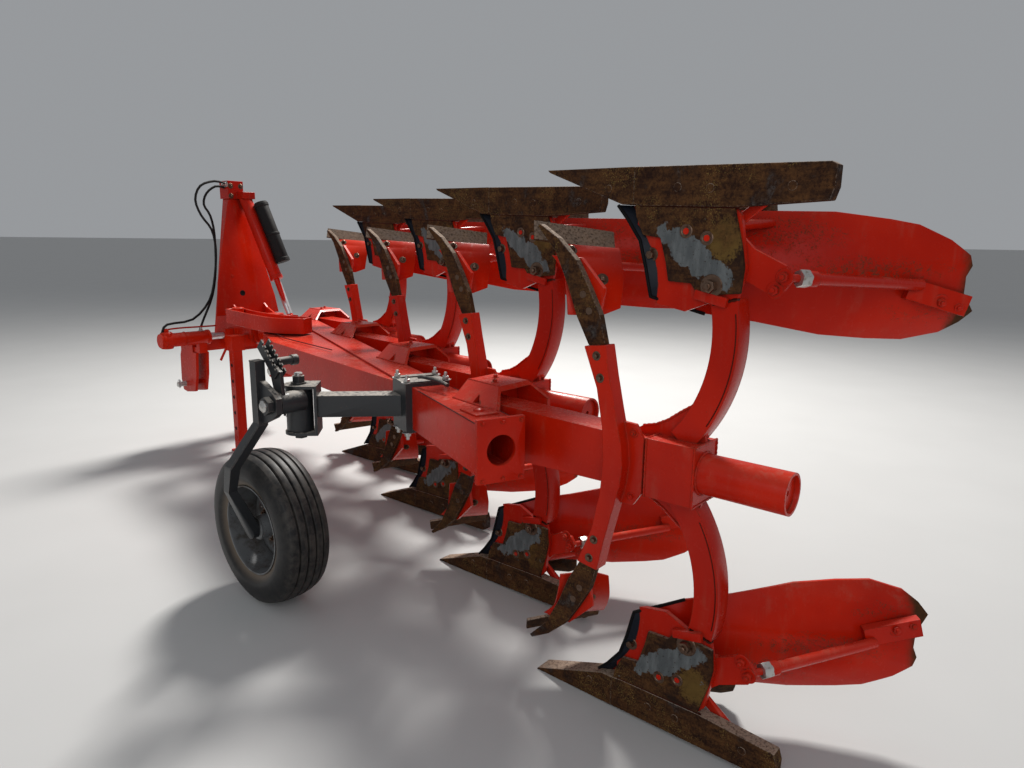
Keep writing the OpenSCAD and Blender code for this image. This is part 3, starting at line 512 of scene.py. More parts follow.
def rubber(name, color, dusty, scale=60.0, shine=0.2):
    """Black rubber with a dusty bloom, most on what faces up."""
    material, add = graph(name)
    place, facing = surface(add)
    bloom = noise(add, place, 22, 6, 0.7)
    grain = noise(add, place, scale)
    upward = plus(add, times(add, ramp(add, facing, 0.0, 0.95), 0.8), 0.2)
    film = times(add, upward, ramp(add, bloom, 0.30, 0.72), dusty)
    finish(add, mix(add, film, color, DUST), between(add, grain, 0.5, 0.8), grain,
           depth=0.0004, shine=shine)
    return material


def tyre_rubber():
    """Black tyre with fine wear round it, and dust on its tread and by its beads."""
    material, add = graph("tyre rubber")
    place = add("TexCoord").outputs["Object"]
    from_hub = add("VectorMath", {"operation": "SUBTRACT"}, in_0=place, in_1=tuple(at(*HUB))).outputs[0]
    parts = add("SeparateXYZ", vector=from_hub)
    x, y, z = parts.outputs[0], parts.outputs[1], parts.outputs[2]
    radius = math_node(add, "SQRT", plus(add, times(add, y, y), times(add, z, z)))
    ring = add("CombineXYZ", x=times(add, x, 90.0), y=times(add, radius, 90.0), z=0.0).outputs[0]
    lines = noise(add, ring, 1.0, 3)
    bloom = noise(add, place, 30, 6, 0.7)
    tread = ramp(add, radius, TYRE_RADIUS - 0.045, TYRE_RADIUS - 0.004)
    film = times(add, plus(add, times(add, tread, 0.14), 0.06), ramp(add, bloom, 0.34, 0.66))
    beads = times(add, ramp(add, radius, 0.24, 0.20), 0.4)
    color = layered(add, mix(add, lines, TYRE_DARK, TYRE_LIGHT), (film, TYRE_DUST), (beads, DUST))
    relief = plus(add, times(add, lines, 0.5), times(add, bloom, 0.5))
    finish(add, color, between(add, film, 0.48, 0.85), relief, depth=0.0008, shine=0.30)
    return material


def rim_paint():
    """Silver paint, dirty in patches, darker in corners with painted shade, with rusty stone chips."""
    material, add = graph("rim paint")
    place = add("TexCoord").outputs["Object"]
    dirt = noise(add, place, 9, 6, 0.65)
    grain = noise(add, place, 120, 3)
    color = layered(add, mix(add, ramp(add, dirt, 0.45, 0.68), RIM_SILVER, RIM_DIRT),
                    # Painted shade: darker in corners
                    (times(add, painted_crevice_shade(add, 0.05), 0.8), RIM_CORNER_SHADE),
                    (ramp(add, grain, 0.66, 0.72), RUST_DARK))
    finish(add, color, between(add, dirt, 0.32, 0.7), grain, metallic=0.35, depth=0.0004)
    return material


def floor_material():
    material, add = graph("pale floor")
    place = add("TexCoord").outputs["Object"]
    color = mix(add, noise(add, place, 1.5, 2), (0.500, 0.500, 0.495), (0.540, 0.540, 0.535))
    finish(add, color, 0.9, noise(add, place, 20, 2), depth=0.0002)
    return material


RED = red_paint()
STEEL = worn_steel()
DARK = dark_paint()
RIM = rim_paint()
PLASTIC = rubber("black plastic", RUBBER_BLACK, 0.06, 25.0)
# Black rubber of the valve, and painted shade: the shin's dark edge and the holes
BLACK_AND_SHADE = rubber("black rubber and painted shade", (0.004, 0.004, 0.005), 0.03, 60.0, 0.1)
BRIGHT = bright_steel("bright steel", (0.55, 0.54, 0.52), (0.25, 0.20, 0.15))
CHROME = bright_steel("chrome", (0.66, 0.66, 0.67), (0.40, 0.38, 0.36))
RUSTY = bright_steel("rusty steel", (0.16, 0.10, 0.07), (0.07, 0.03, 0.015))
RUSTY_WELD = bright_steel("rusty weld", (0.060, 0.014, 0.008), (0.035, 0.012, 0.007))
DARK_SEAM = bright_steel("dark seam", (0.110, 0.012, 0.010), (0.055, 0.020, 0.014))
SLOTS = {"red_paint": RED, "worn_steel": STEEL, "dark_paint": DARK, "black_plastic": PLASTIC,
         "hose_rubber": rubber("hose rubber", RUBBER_BLACK, 0.10), "tyre_rubber": tyre_rubber(),
         "rim_paint": RIM, "pin_steel": BRIGHT}
SPECIAL = {"mouldboards": board_paint(), "frogs": frog_steel()}
SLOT_OF = {part["node"]: part["material_slot"] for part in frame["record"]["subparts"]}


def dress_cad_nodes():
    """The CAD pieces keep their shape and get soft edges and a finish."""
    for name, node in frame["nodes"].items():
        node.data.materials.clear()
        node.data.materials.append(SPECIAL.get(name, SLOTS[SLOT_OF[name]]))
        weld = node.modifiers.new("weld", "WELD")
        weld.merge_threshold = 0.00002
        soft = node.modifiers.new("soft edges", "BEVEL")
        soft.width = EDGE
        soft.segments = 2
        soft.limit_method = "ANGLE"
        soft.angle_limit = EDGE_ANGLE


# Small shapes, each drawn round the origin and then set in place

def turned(part, profile, steps=20):
    """Adds the body that pairs of radius and height sweep round Z."""
    verts = [part.verts.new((radius, 0, height)) for radius, height in profile]
    edges = [part.edges.new(pair) for pair in zip(verts, verts[1:])]
    bmesh.ops.spin(part, geom=verts + edges, cent=(0, 0, 0), axis=UP, angle=2 * math.pi, steps=steps,
                   use_merge=True, use_duplicate=False)
    bmesh.ops.remove_doubles(part, verts=part.verts, dist=0.00001)


def lift_off(part, faces, way):
    """Extrudes faces, moves the new ones by the way, and gives back all that is new."""
    made = bmesh.ops.extrude_face_region(part, geom=faces)["geom"]
    moved = [item for item in made if isinstance(item, bmesh.types.BMVert)]
    bmesh.ops.translate(part, verts=moved, vec=way)
    return made


def prism(part, outline, low, high, chamfer=0.0):
    """Adds an outline in X and Y, thick from low to high, with its edges broken."""
    face = part.faces.new([part.verts.new((x, y, low)) for x, y in outline])
    made = lift_off(part, [face], (0, 0, high - low))
    if chamfer:
        verts = list(face.verts) + [item for item in made if isinstance(item, bmesh.types.BMVert)]
        edges = {edge for vert in verts for edge in vert.link_edges}
        bmesh.ops.bevel(part, geom=list(edges), offset=chamfer, segments=2, profile=CHAMFER_PROFILE,
                        affect="EDGES", material=-1)


def channel(part, outline, low, high, wall, depth):
    """Adds an upright plate whose top is sunk between its side walls."""
    face = part.faces.new([part.verts.new((x, y, low)) for x, y in outline])
    made = lift_off(part, [face], (0, 0, high - low))
    top = [item for item in made if isinstance(item, bmesh.types.BMFace)]
    bmesh.ops.inset_region(part, faces=top, thickness=wall, depth=0, use_even_offset=True)
    lift_off(part, top, (0, 0, -depth))
    bmesh.ops.delete(part, geom=top, context="FACES")
    bmesh.ops.bevel(part, geom=list(part.edges), offset=0.002, segments=1, profile=0.5, affect="EDGES",
                    material=-1)


def polygon(sides, radius):
    return [(radius * math.cos(2 * math.pi * i / sides), radius * math.sin(2 * math.pi * i / sides))
            for i in range(sides)]


def hex_bolt(part, across, stud=0.0):
    """Adds a washer and a hexagon, with a domed head or with a thread's end through a nut."""
    height = 0.62 * across
    turned(part, [(0, 0), (0.98 * across, 0), (across, 0.06 * across), (0.94 * across, 0.12 * across),
                  (0, 0.12 * across)])
    prism(part, polygon(6, across / math.sqrt(3)), 0.10 * across, height + 0.10 * across, 0.06 * across)
    if stud:
        thread = 0.30 * across
        turned(part, [(thread, height), (thread, height + stud), (0.75 * thread, height + 1.15 * stud),
                      (0, height + 1.15 * stud)], 12)
    else:
        turned(part, [(0.42 * across, height + 0.08 * across), (0.36 * across, height + 0.14 * across),
                      (0, height + 0.15 * across)], 12)


def round_bolt(part, diameter):
    """Adds a low domed head."""
    radius = diameter / 2
    turned(part, [(radius, -0.001), (radius, 0.10 * radius), (0.86 * radius, 0.34 * radius),
                  (0.45 * radius, 0.50 * radius), (0, 0.54 * radius)])


def ring_seat(part, diameter):
    """Adds the rusty ring round a countersunk bolt."""
    radius = diameter / 2
    turned(part, [(radius, 0), (radius, 0.0012), (0.92 * radius, 0.0022), (0.72 * radius, 0.0020),
                  (0.62 * radius, 0.0004), (0, 0.0004)])


def flush_head(part, diameter):
    """Adds a round head that is nearly flush."""
    radius = diameter / 2
    turned(part, [(radius, 0.0002), (0.94 * radius, 0.0014), (0.35 * radius, 0.0016), (0, 0.0008)])


def tube(part, points, radius, sides=10, waver=0.0):
    """Adds a round bar along the points, with closed ends and a wavering thickness."""
    rings = []
    across = (points[1] - points[0]).orthogonal()
    for i, point in enumerate(points):
        ahead = (points[min(i + 1, len(points) - 1)] - points[max(i - 1, 0)]).normalized()
        across = (across - ahead * across.dot(ahead)).normalized()
        up = ahead.cross(across)
        size = radius * (1 + waver * math.sin(2.4 * i))
        rings.append([part.verts.new(point + size * (math.cos(t) * across + math.sin(t) * up))
                      for t in [2 * math.pi * k / sides for k in range(sides)]])
    for low, high in zip(rings, rings[1:]):
        for k in range(sides):
            part.faces.new((low[k], low[(k + 1) % sides], high[(k + 1) % sides], high[k]))
    part.faces.new(rings[0])
    part.faces.new(list(reversed(rings[-1])))


def bead(part, points, radius):
    """Adds a weld seam with its ripples along a line of corners."""
    tube(part, spaced([Vector(point) for point in points], 1.6 * radius), radius, 6, 0.22)


def spaced(points, step):
    """Points at even steps along a line of corners."""
    out = []
    for start, end in zip(points, points[1:]):
        count = max(1, round((end - start).length / step))
        out.extend(start.lerp(end, i / count) for i in range(count))
    return out + [points[-1]]


def smooth_line(points, count):
    """Points on a smooth curve through the given ones, with so many to each stretch."""
    out = []
    points = [Vector(point) for point in points]
    padded = [points[0]] + points + [points[-1]]
    for a, b, c, d in zip(padded, padded[1:], padded[2:], padded[3:]):
        for i in range(count):
            t = i / count
            out.append(0.5 * (2 * b + t * (c - a) + t * t * (2 * a - 5 * b + 4 * c - d)
                              + t * t * t * (3 * b - a - 3 * c + d)))
    return out + [points[-1]]


def set_to(place, axis, spin=0.0):
    """A matrix that puts a shape's origin at the place and its Z along the axis."""
    turn = axis.to_track_quat("Z", "Y").to_matrix().to_4x4()
    return Matrix.Translation(place) @ turn @ Matrix.Rotation(spin, 4, "Z")


class Form:
    """Gathers small shapes into the geometry of one piece."""

    def __init__(self):
        self.whole = bmesh.new()

    def add(self, matrix, shape, *sizes):
        """Draws a shape and sets it in place."""
        part = bmesh.new()
        shape(part, *sizes)
        bmesh.ops.recalc_face_normals(part, faces=part.faces)
        self.take(part, [matrix])
        part.free()

    def take(self, part, matrices):
        """Adds a copy of the part at each matrix, right side out where it is mirrored."""
        for matrix in matrices:
            copy = part.copy()
            bmesh.ops.transform(copy, matrix=matrix, verts=copy.verts)
            if matrix.determinant() < 0:
                bmesh.ops.reverse_faces(copy, faces=copy.faces)
            mesh = bpy.data.meshes.new("copy")
            copy.to_mesh(mesh)
            copy.free()
            self.whole.from_mesh(mesh)
            bpy.data.meshes.remove(mesh)


def piece(name, form, material, body):
    """Makes the form one piece of a body."""
    mesh = bpy.data.meshes.new(name)
    form.whole.to_mesh(mesh)
    form.whole.free()
    mesh.materials.append(material)
    mesh.shade_smooth()
    mesh.set_sharp_from_angle(angle=SHARP)
    made = bpy.data.objects.new(name, mesh)
    bpy.context.scene.collection.objects.link(made)
    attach(made, body)


def on_bodies(name, form, material):
    """Makes one piece of the frame from a copy of the form on each plough body."""
    spread = Form()
    spread.take(form.whole, body_places())
    form.whole.free()
    piece(name, spread, material, "frame")


# Fittings of a plough body

def sheet_point(u, h, outside):
    """A point on the rolled board and its normal: u along it, on its outside or its hollow side."""
    radius = BOARD_R + (BOARD_T if outside else 0)
    drop = (h - BOARD_AXIS_H + u * math.tan(BOARD_TILT)) * math.cos(BOARD_TILT)
    depth = math.sqrt(radius * radius - drop * drop)
    normal = (BOARD_OUT * depth - UP * drop * math.cos(BOARD_TILT)).normalized()
    place = BOARD_AT + u * BOARD_ALONG + (BOARD_AXIS_OUT - depth) * BOARD_OUT + (h - PLANE) * UP
    return place, (-normal if outside else normal)


def on_sheet(u, h, outside=False, lift=0.0, spin=0.0):
    """Sets a shape on the rolled board."""
    place, normal = sheet_point(u, h, outside)
    return set_to(place + lift * normal, normal, spin)


def on_left(x, y, z, spin=0.0):
    """Sets a shape on a face that looks left."""
    return set_to(Vector((x, y, z)), LEFT, spin)


def frog_bolts():
    """Two countersunk bolts in rusty rings on the frog's side."""
    rings, heads = Form(), Form()
    for y, h in ((-0.507, 0.193), (-0.572, 0.212)):
        rings.add(on_left(FROG_X, y, h - PLANE), ring_seat, 0.040)
        heads.add(on_left(FROG_X - 0.0006, y, h - PLANE), flush_head, 0.019)
    on_bodies("bolt_rings", rings, RUSTY)
    on_bodies("flush_bolts", heads, RED)


def rusty_bolts():
    """A hexagon on the frog and on the leg, and the heads that hold the board and its share."""
    rusty = Form()
    rusty.add(on_left(FROG_X, -0.596, 0.345 - PLANE, 0.3), hex_bolt, 0.034, 0.012)
    rusty.add(on_left(CORE_X, -0.392, 0.262 - PLANE, 0.8), hex_bolt, 0.022)
    for u, h in ((0.02, 0.230), (0.10, 0.330), (0.30, 0.230), (0.30, 0.360), (-0.04, 0.145),
                 (0.16, 0.150)):
        rusty.add(on_sheet(u, h), flush_head, 0.026)
    for u, h in ((-0.02, 0.060), (0.12, 0.072), (0.26, 0.085)):
        rusty.add(on_sheet(u, h), flush_head, 0.028)
    on_bodies("rusty_bolts", rusty, RUSTY)


def landside_bolts():
    """Flush heads on the share point and along the landside."""
    worn = Form()
    for y, h, head in ((-0.240, 0.066, 0.024), (-0.474, 0.070, 0.026), (-0.574, 0.076, 0.026),
                       (-0.800, 0.078, 0.026)):
        worn.add(on_left(LAND_X, y, h - PLANE), flush_head, head)
    on_bodies("landside_bolts", worn, STEEL)


def red_bolts():
    """The clamp plate on the frog, and painted bolts of clevis, stay foot and short stay."""
    red = Form()
    clamp = [(-0.545, 0.384), (-0.642, 0.404), (-0.648, 0.376), (-0.549, 0.356)]
    clamp_place = Matrix.Translation((FROG_X - 0.006, 0, -PLANE)) @ YZ_PLANE
    red.add(clamp_place, prism, clamp, 0.0, 0.040, 0.003)
    for y, h in ((-0.789, 0.312), (-0.766, 0.348)):
        red.add(on_left(0.002, y, h - PLANE, 0.5), hex_bolt, 0.024, 0.010)
    for u, h in ((0.812, 0.374), (0.862, 0.386)):
        red.add(on_sheet(u, h, True, 0.030, 0.4), hex_bolt, 0.022, 0.008)
    red.add(on_sheet(0.250, 0.172, True, 0.004, 0.2), hex_bolt, 0.022, 0.008)
    on_bodies("red_bolts", red, RED)


def stay_nuts():
    """The bright adjusting nut on the board's stay."""
    bright = Form()
    stay_way = Vector((0.345, -0.211, 0.019))
    bright.add(set_to(Vector((0.058, -0.819, 0.3166 - PLANE)), stay_way, 0.3), prism, polygon(6, 0.0255),
               -0.016, 0.016, 0.003)
    on_bodies("stay_nuts", bright, BRIGHT)


def shin_edges():
    """The black rounded edge along the board's front, the shin's edge drawn as a dark tube of painted shade.
    """
    black = Form()
    front = ((-0.118, 0.116), (-0.090, 0.157), (-0.053, 0.220), (-0.035, 0.296), (-0.016, 0.386),
             (0.090, 0.418), (0.150, 0.436))
    line = spaced([sheet_point(u, h, True)[0] for u, h in front], 0.012)
    black.add(ORIGIN, tube, [point - 0.003 * BOARD_ALONG for point in line], 0.0055, 8)
    on_bodies("shin_edges", black, BLACK_AND_SHADE)


def body_seams():
    """Weld seams round the leg's foot and under the frog's plate."""
    seams = Form()
    foot = [(-0.004, -0.598, 0.398), (-0.016, -0.600, 0.397), (-0.016, -0.668, 0.379),
            (0.004, -0.668, 0.379)]
    seams.add(ORIGIN, bead, [(x, y, h - PLANE) for x, y, h in foot], 0.0045)
    under = [(FROG_X + 0.001, -0.350, 0.118 - PLANE), (FROG_X + 0.001, -0.660, 0.130 - PLANE)]
    seams.add(ORIGIN, bead, under, 0.003)
    on_bodies("body_seams", seams, RUSTY_WELD)


# Fittings of the holders and skimmers

def holder_bolts():
    """Two hexagons that clamp the skimmer's arm."""
    bolts = Form()
    for y, z in ((-0.292, 0.268), (-0.276, 0.336)):
        bolts.add(on_left(SKIM_X, y, z, 0.2), hex_bolt, 0.015)
    on_bodies("holder_bolts", bolts, RUSTY)


def leg_seams():
    """The seam near the curved leg's outer edge."""
    seams = Form()
    radius = LEG_R + LEG_DEPTH / 2 - 0.009
    arc = []
    for i in range(25):
        t = math.radians(LEG_FROM + (LEG_TO - LEG_FROM) * i / 24)
        arc.append((CORE_X + 0.0003, LEG_Y + radius * math.cos(t), LEG_Z + radius * math.sin(t)))
    seams.add(ORIGIN, bead, [point for point in arc if 0.14 < point[2] < 0.50], 0.0019)
    on_bodies("leg_seams", seams, RUSTY_WELD)


def holder_seams():
    """Painted seams of the gusset, the collar box and the rear tube, and a small bolt."""
    red = Form()
    red.add(on_left(ARM_X - 0.014, -0.398, 0.104, 0.9), hex_bolt, 0.015, 0.004)
    gusset = ((-0.384, 0.112), (-0.430, 0.124), (-0.470, 0.145), (-0.516, 0.180), (-0.560, 0.210))
    front_y, rear_y = -0.439, -0.600
    front = [(ARM_X - 0.008, front_y, 0.0), (ARM_X - 0.008, front_y, 0.092),
             (ARM_X + 0.100, front_y, 0.094)]
    rear = [(ARM_X - 0.009, rear_y, 0.0), (ARM_X - 0.009, rear_y, 0.093), (ARM_X + 0.138, rear_y, 0.093),
            (ARM_X + 0.138, rear_y, 0.0)]
    for seam in ([(CORE_X + 0.019, y, z) for y, z in gusset], front, rear):
        red.add(ORIGIN, bead, seam, 0.004)
    angles = [math.radians(7.5 * i) for i in range(25)]
    tube_radius = 0.064
    ring = [(0.005 + tube_radius * math.cos(t), rear_y - 0.001, tube_radius * math.sin(t)) for t in angles]
    red.add(ORIGIN, bead, ring, 0.0045)
    on_bodies("holder_seams", red, RED)


def skimmer_bolts():
    """Hexagons behind the skimmer's board, and flush heads on its stem."""
    rusty = Form()
    along = Vector((math.cos(SKIM_TURN), -math.sin(SKIM_TURN), 0))
    out = Vector((math.sin(SKIM_TURN), math.cos(SKIM_TURN), 0))
    for s, above in ((0.100, 0.090), (0.190, 0.180), (0.110, 0.245)):
        drop = above - SKIM_AXIS_Z
        depth = math.sqrt(SKIM_R * SKIM_R - drop * drop)
        place = SKIM_TIP + s * along + (SKIM_AXIS_OUT - depth) * out + above * UP
        rusty.add(set_to(place, UP * drop - out * depth, 0.3), hex_bolt, 0.020, 0.006)
    for y, z in ((-0.227, -0.470), (-0.202, -0.520)):
        rusty.add(on_left(SKIM_X + 0.022, y, z, 0.6), flush_head, 0.024)
    on_bodies("skimmer_bolts", rusty, RUSTY)


# Fittings of the beam and the front frame

def beam_fittings():
    """Bolts, plate and seams of the main beam, the brackets and the front frame."""
    bolts, red, seams = Form(), Form(), Form()
    for side in (-0.068, 0.004, 0.074):
        for z in (-0.098, 0.099):
            place = at(*BEAM_END) + side * BEAM_ACROSS + z * UP
            bolts.add(set_to(place, -BEAM_AHEAD, 0.3), hex_bolt, 0.0105)
    plate = [(-0.038, 0.120), (0.052, 0.126), (0.062, 0.206), (-0.052, 0.232)]
    plate_top = BEAM_TOP + 0.006
    red.add(BEAM_PLACE, prism, plate, BEAM_TOP - 0.001, plate_top, 0.002)
    bolts.add(BEAM_PLACE @ Matrix.Translation((-0.002, 0.178, plate_top)), round_bolt, 0.040)
    for x in (-0.0755, 0.0755):
        seams.add(BEAM_PLACE, bead, [(x, 0.022, 0.089), (x, 0.60, 0.0895)], 0.0022)
    for bracket in body_places():
        red.add(bracket, bead, [(-0.124, 0.131, 0.0915), (-0.0765, 0.399, 0.0915)], 0.0045)
        red.add(bracket, bead, [(-0.012, 0.222, 0.1505), (0.014, 0.404, 0.1505)], 0.003)
        for x, y in ((0.040, 0.290), (0.110, 0.350)):
            bolts.add(bracket @ set_to(Vector((x, y, 0.150)), UP, 0.4), hex_bolt, 0.015, 0.004)
    wedge_top = 0.0905
    wedge = [(0.283, 1.700, wedge_top), (0.352, 2.290, wedge_top), (0.500, 2.700, wedge_top)]
    for half in (ORIGIN, MIRROR):
        seams.add(Matrix.Translation(at(0, 0, PLANE)) @ half, bead, wedge, 0.003)
    piece("beam_bolts", bolts, RED, "frame")
    piece("beam_plates", red, RED, "frame")
    piece("beam_seams", seams, DARK_SEAM, "frame")


def offset_link():
    """The curved link on the front frame that leads to the turning head."""
    link = Form()
    place = Matrix.Translation(TIP)
    right = ((0.605, 3.235, 0), (0.572, 3.060, 0), (0.548, 2.870, 0), (0.552, 2.660, 0), (0.585, 2.480, 0),
             (0.615, 2.385, 0))
    left = ((0.525, 2.340, 0), (0.425, 2.480, 0), (0.412, 2.640, 0), (0.428, 2.840, 0), (0.455, 3.060, 0),
            (0.480, 3.235, 0))
    outline = [(point.x, point.y) for point in smooth_line(right, 4) + smooth_line(left, 4)]
    link.add(place, channel, outline, 0.9985, 1.096, 0.013, 0.030)
    lug = [(0.590, 3.235), (0.590, 3.110), (0.700, 3.090), (0.850, 3.110), (0.890, 3.170), (0.860, 3.235)]
    link.add(place, prism, lug, 1.004, 1.046, 0.003)
    link.add(Matrix.Translation(at(0.535, 3.165, 1.060)), turned,
             [(0.040, 0), (0.040, 0.044), (0.034, 0.048), (0.018, 0.048), (0.016, 0.040), (0, 0.040)])
    link.add(Matrix.Translation(at(0.548, 2.425, 1.060)), hex_bolt, 0.036, 0.008)
    piece("offset_link", link, RED, "frame")


# Fittings of the depth wheel and its carrier

def wheel_fittings():
    """Hub cap, wheel bolts with their nuts behind the disc, and the valve."""
    hub = at(*HUB)
    cap, bolts, valve = Form(), Form(), Form()
    cap.add(set_to(hub + 0.060 * RIGHT, RIGHT), turned,
            [(0.046, -0.004), (0.046, 0.014), (0.040, 0.026), (0.014, 0.031), (0, 0.031)])
    cap.add(set_to(hub + 0.056 * LEFT, LEFT), turned,
            [(0.050, -0.002), (0.050, 0.006), (0.036, 0.012), (0.024, 0.012)])
    circle = 0.072
    for i in range(6):
        t = math.radians(60 * i + 30)
        place = hub + Vector((0.018, circle * math.cos(t), circle * math.sin(t)))
        bolts.add(set_to(place, LEFT, t), hex_bolt, 0.019, 0.008)
        bolts.add(set_to(place + 0.007 * RIGHT, RIGHT, t), hex_bolt, 0.019)
    bent = ((0.030, 0, 0.166), (0.0, 0.006, 0.160), (-0.030, 0.010, 0.156))
    stem = [hub + Vector(point) for point in bent]
    valve.add(ORIGIN, tube, stem, 0.004)
    valve.add(set_to(stem[-1], LEFT), turned,
              [(0.0055, -0.004), (0.0055, 0.012), (0.004, 0.015), (0, 0.015)])
    piece("hub_caps", cap, RIM, "wheel")
    piece("wheel_bolts", bolts, RUSTY, "wheel")
    piece("valve", valve, BLACK_AND_SHADE, "wheel")


def carrier_fittings():
    """Pin ends of the wheel's swing and spindle, bolts of its housing and its square cap."""
    pins, dark = Form(), Form()
    pins.add(set_to(at(*SWING) + 0.056 * LEFT, LEFT), turned,
             [(0.024, 0), (0.024, 0.006), (0.017, 0.012), (0.006, 0.015), (0, 0.015)])
    pins.add(set_to(at(*SPIN, 1.031), UP), turned,
             [(0.0175, 0), (0.0175, 0.010), (0.014, 0.014), (0, 0.014)])
    for turn in (0.6, 2.6):
        out = 0.056 * Vector((math.cos(turn), math.sin(turn), 0))
        dark.add(set_to(at(*SPIN, 0.870) + out, out), hex_bolt, 0.013)
    x, y = 0.0225, 0.0235
    cap = [(-x, -y), (x, -y), (x, y), (-x, y)]
    dark.add(Matrix.Translation(at(-0.491, 1.090, 1.1045)), prism, cap, -0.002, 0.006, 0.002)
    piece("pivot_ends", pins, BRIGHT, "frame")
    piece("barrel_fittings", dark, DARK, "frame")


def clamp_fittings():
    """Straps, nuts and thread ends of the clamp that holds the wheel's bar, and its handle."""
    rods, straps = Form(), Form()
    left_x, right_x, half = -0.100, 0.088, 0.020
    for along in (0.700, 0.824):
        for x in (-0.089, 0.081):
            for z_side in (1, -1):
                place = BEAM_PLACE @ Matrix.Translation((x, along, z_side * 0.1045))
                rods.add(place @ set_to(Vector(), z_side * UP, 0.3), hex_bolt, 0.024, 0.016)
        rear, front = along - half, along + half
        strap = [(left_x, rear), (right_x, rear), (right_x, front), (left_x, front)]
        straps.add(BEAM_PLACE, prism, strap, 0.104, 0.110, 0.002)
    handle = ((-0.040, 0.690, 0.128), (-0.030, 0.650, 0.133), (0.000, 0.560, 0.130), (0.010, 0.500, 0.124))
    straps.add(BEAM_PLACE, tube, smooth_line(handle, 6), 0.008)
    piece("clamp_nuts", rods, BRIGHT, "frame")
    piece("clamp_straps", straps, DARK, "frame")


# Fittings of the headstock

def on_head(x, y, z, axis, spin=0.0):
    """Sets a shape on the headstock."""
    return HEAD_PLACE @ set_to(Vector((x, y, z)), axis, spin)


def cylinder_rods():
    """Chrome rods of both cylinders, and the linch pins in the lower link pins."""
    chrome = Form()
    rod_way = CRANK_PIN - GLAND
    chrome.add(HEAD_PLACE, tube, [GLAND + 0.03 * rod_way, GLAND + 0.86 * rod_way], ROD_RADIUS, 28)
    offset_rod = [Vector((x, OFFSET_Y, OFFSET_Z)) for x in (-0.329, -0.202)]
    chrome.add(HEAD_PLACE, tube, offset_rod, ROD_RADIUS, 28)
    for side in (-1, 1):
        pin = Vector((side * (0.4125 + 0.046), 0.530, PLANE - 0.428))
        angles = [math.radians(15 * i) for i in range(23)]
        ring = [pin + Vector((0, 0.030 * math.cos(t), 0.030 * math.sin(t) + 0.006)) for t in angles]
        chrome.add(HEAD_PLACE, tube, ring, 0.0022, 8)
        chrome.add(HEAD_PLACE, tube, [pin - 0.028 * UP, pin + 0.034 * UP], 0.0052, 12)
    piece("cylinder_rods", chrome, CHROME, "headstock")


def head_collars():
    """Collars of both cylinders, the offset cylinder's pipe and the stand's handle."""
    red = Form()
    gland = [(0.024, -0.012), (0.047, -0.012), (0.049, -0.006), (0.049, 0.016), (0.040, 0.020),
             (0.024, 0.020)]
    red.add(on_head(*GLAND, CRANK_PIN - GLAND), turned, gland)
    for x, length in ((-0.334, 0.018), (-0.655, 0.020), (-0.500, 0.006)):
        collar = [(0.040, -0.004), (0.0535, 0), (0.0545, 0.004), (0.0545, length), (0.040, length + 0.004)]
        red.add(on_head(x, OFFSET_Y, OFFSET_Z, RIGHT), turned, collar, 32)
    pipe = [(x, OFFSET_Y + y, OFFSET_Z + z) for x, y, z in (
        (-0.620, 0, 0.066), (-0.600, 0.006, 0.078), (-0.500, 0.018, 0.080), (-0.400, 0.018, 0.078),
        (-0.240, 0.030, 0.074))]
    red.add(HEAD_PLACE, tube, smooth_line(pipe, 6), 0.006)
    handle = ((-0.225, 0.150, PLANE - 0.070), (-0.262, 0.150, PLANE - 0.130), (-0.310, 0.150, PLANE - 0.215))
    red.add(HEAD_PLACE, tube, smooth_line(handle, 5), 0.009, 12)
    piece("head_collars", red, RED, "headstock")


def head_bolts():
    """Four bolts of the top block, and the fittings at the hoses' ends."""
    bolts, fittings = Form(), Form()
    for z in (1.890, 1.962):
        for x in (-0.040, 0.040):
            bolts.add(on_head(x, 0.350, z, BACK, 0.3), hex_bolt, 0.020)
    for x in (-0.620, -0.370):
        fittings.add(on_head(x, OFFSET_Y, OFFSET_Z + 0.049, UP), hex_bolt, 0.022, 0.012)
    for y in (0.372, 0.402):
        port_z = 1.997 - 0.110 * (y - 0.172)
        fittings.add(on_head(-0.060, y, port_z, LEFT), hex_bolt, 0.022, 0.010)
    piece("head_bolts", bolts, RUSTY, "headstock")
    piece("hose_fittings", fittings, BRIGHT, "headstock")


def stand_holes():
    """Pin holes in the stand's leg, dark discs of painted shade."""
    holes = Form()
    for z in (0.180, 0.300, 0.420, 0.540, 0.660):
        # Painted shade: dark discs stand for the holes
        holes.add(on_head(-0.2655, 0.075, z, LEFT), turned,
                  [(0, 0.0004), (0.0105, 0.0004), (0.0125, 0.0014), (0.0135, 0.0002)])
    piece("stand_holes", holes, BLACK_AND_SHADE, "stand")


def mast_plate():
    """The mast's wide rear plate, leaning forward, with its hole, a dark disc of painted shade, and a bolt.
    """
    plate, hole = Form(), Form()
    lean = math.atan(0.150 / 1.130)
    thick = 0.012
    foot = HEAD_PLACE @ Matrix.Translation((0, 0.220, 0.740))
    face = foot @ Matrix.Rotation(math.pi / 2 - lean, 4, "X")
    outline = [(-0.268, 0.270), (0.240, 0.270), (0.225, 0.400), (0.066, 1.120), (0.050, 1.136),
               (-0.050, 1.136), (-0.066, 1.120), (-0.225, 0.520)]
    plate.add(face, prism, outline, 0.0, thick, 0.002)
    plate.add(face @ Matrix.Translation((-0.110, 0.560, thick)), hex_bolt, 0.013)
    # Painted shade: a dark disc stands for the hole
    hole.add(face @ Matrix.Translation((-0.043, 0.432, thick)), turned,
             [(0, 0.0006), (0.0175, 0.0006), (0.0200, 0.0014), (0.0215, 0.0002)], 28)
    piece("mast_plate", plate, RED, "headstock")
    piece("mast_hole", hole, BLACK_AND_SHADE, "headstock")


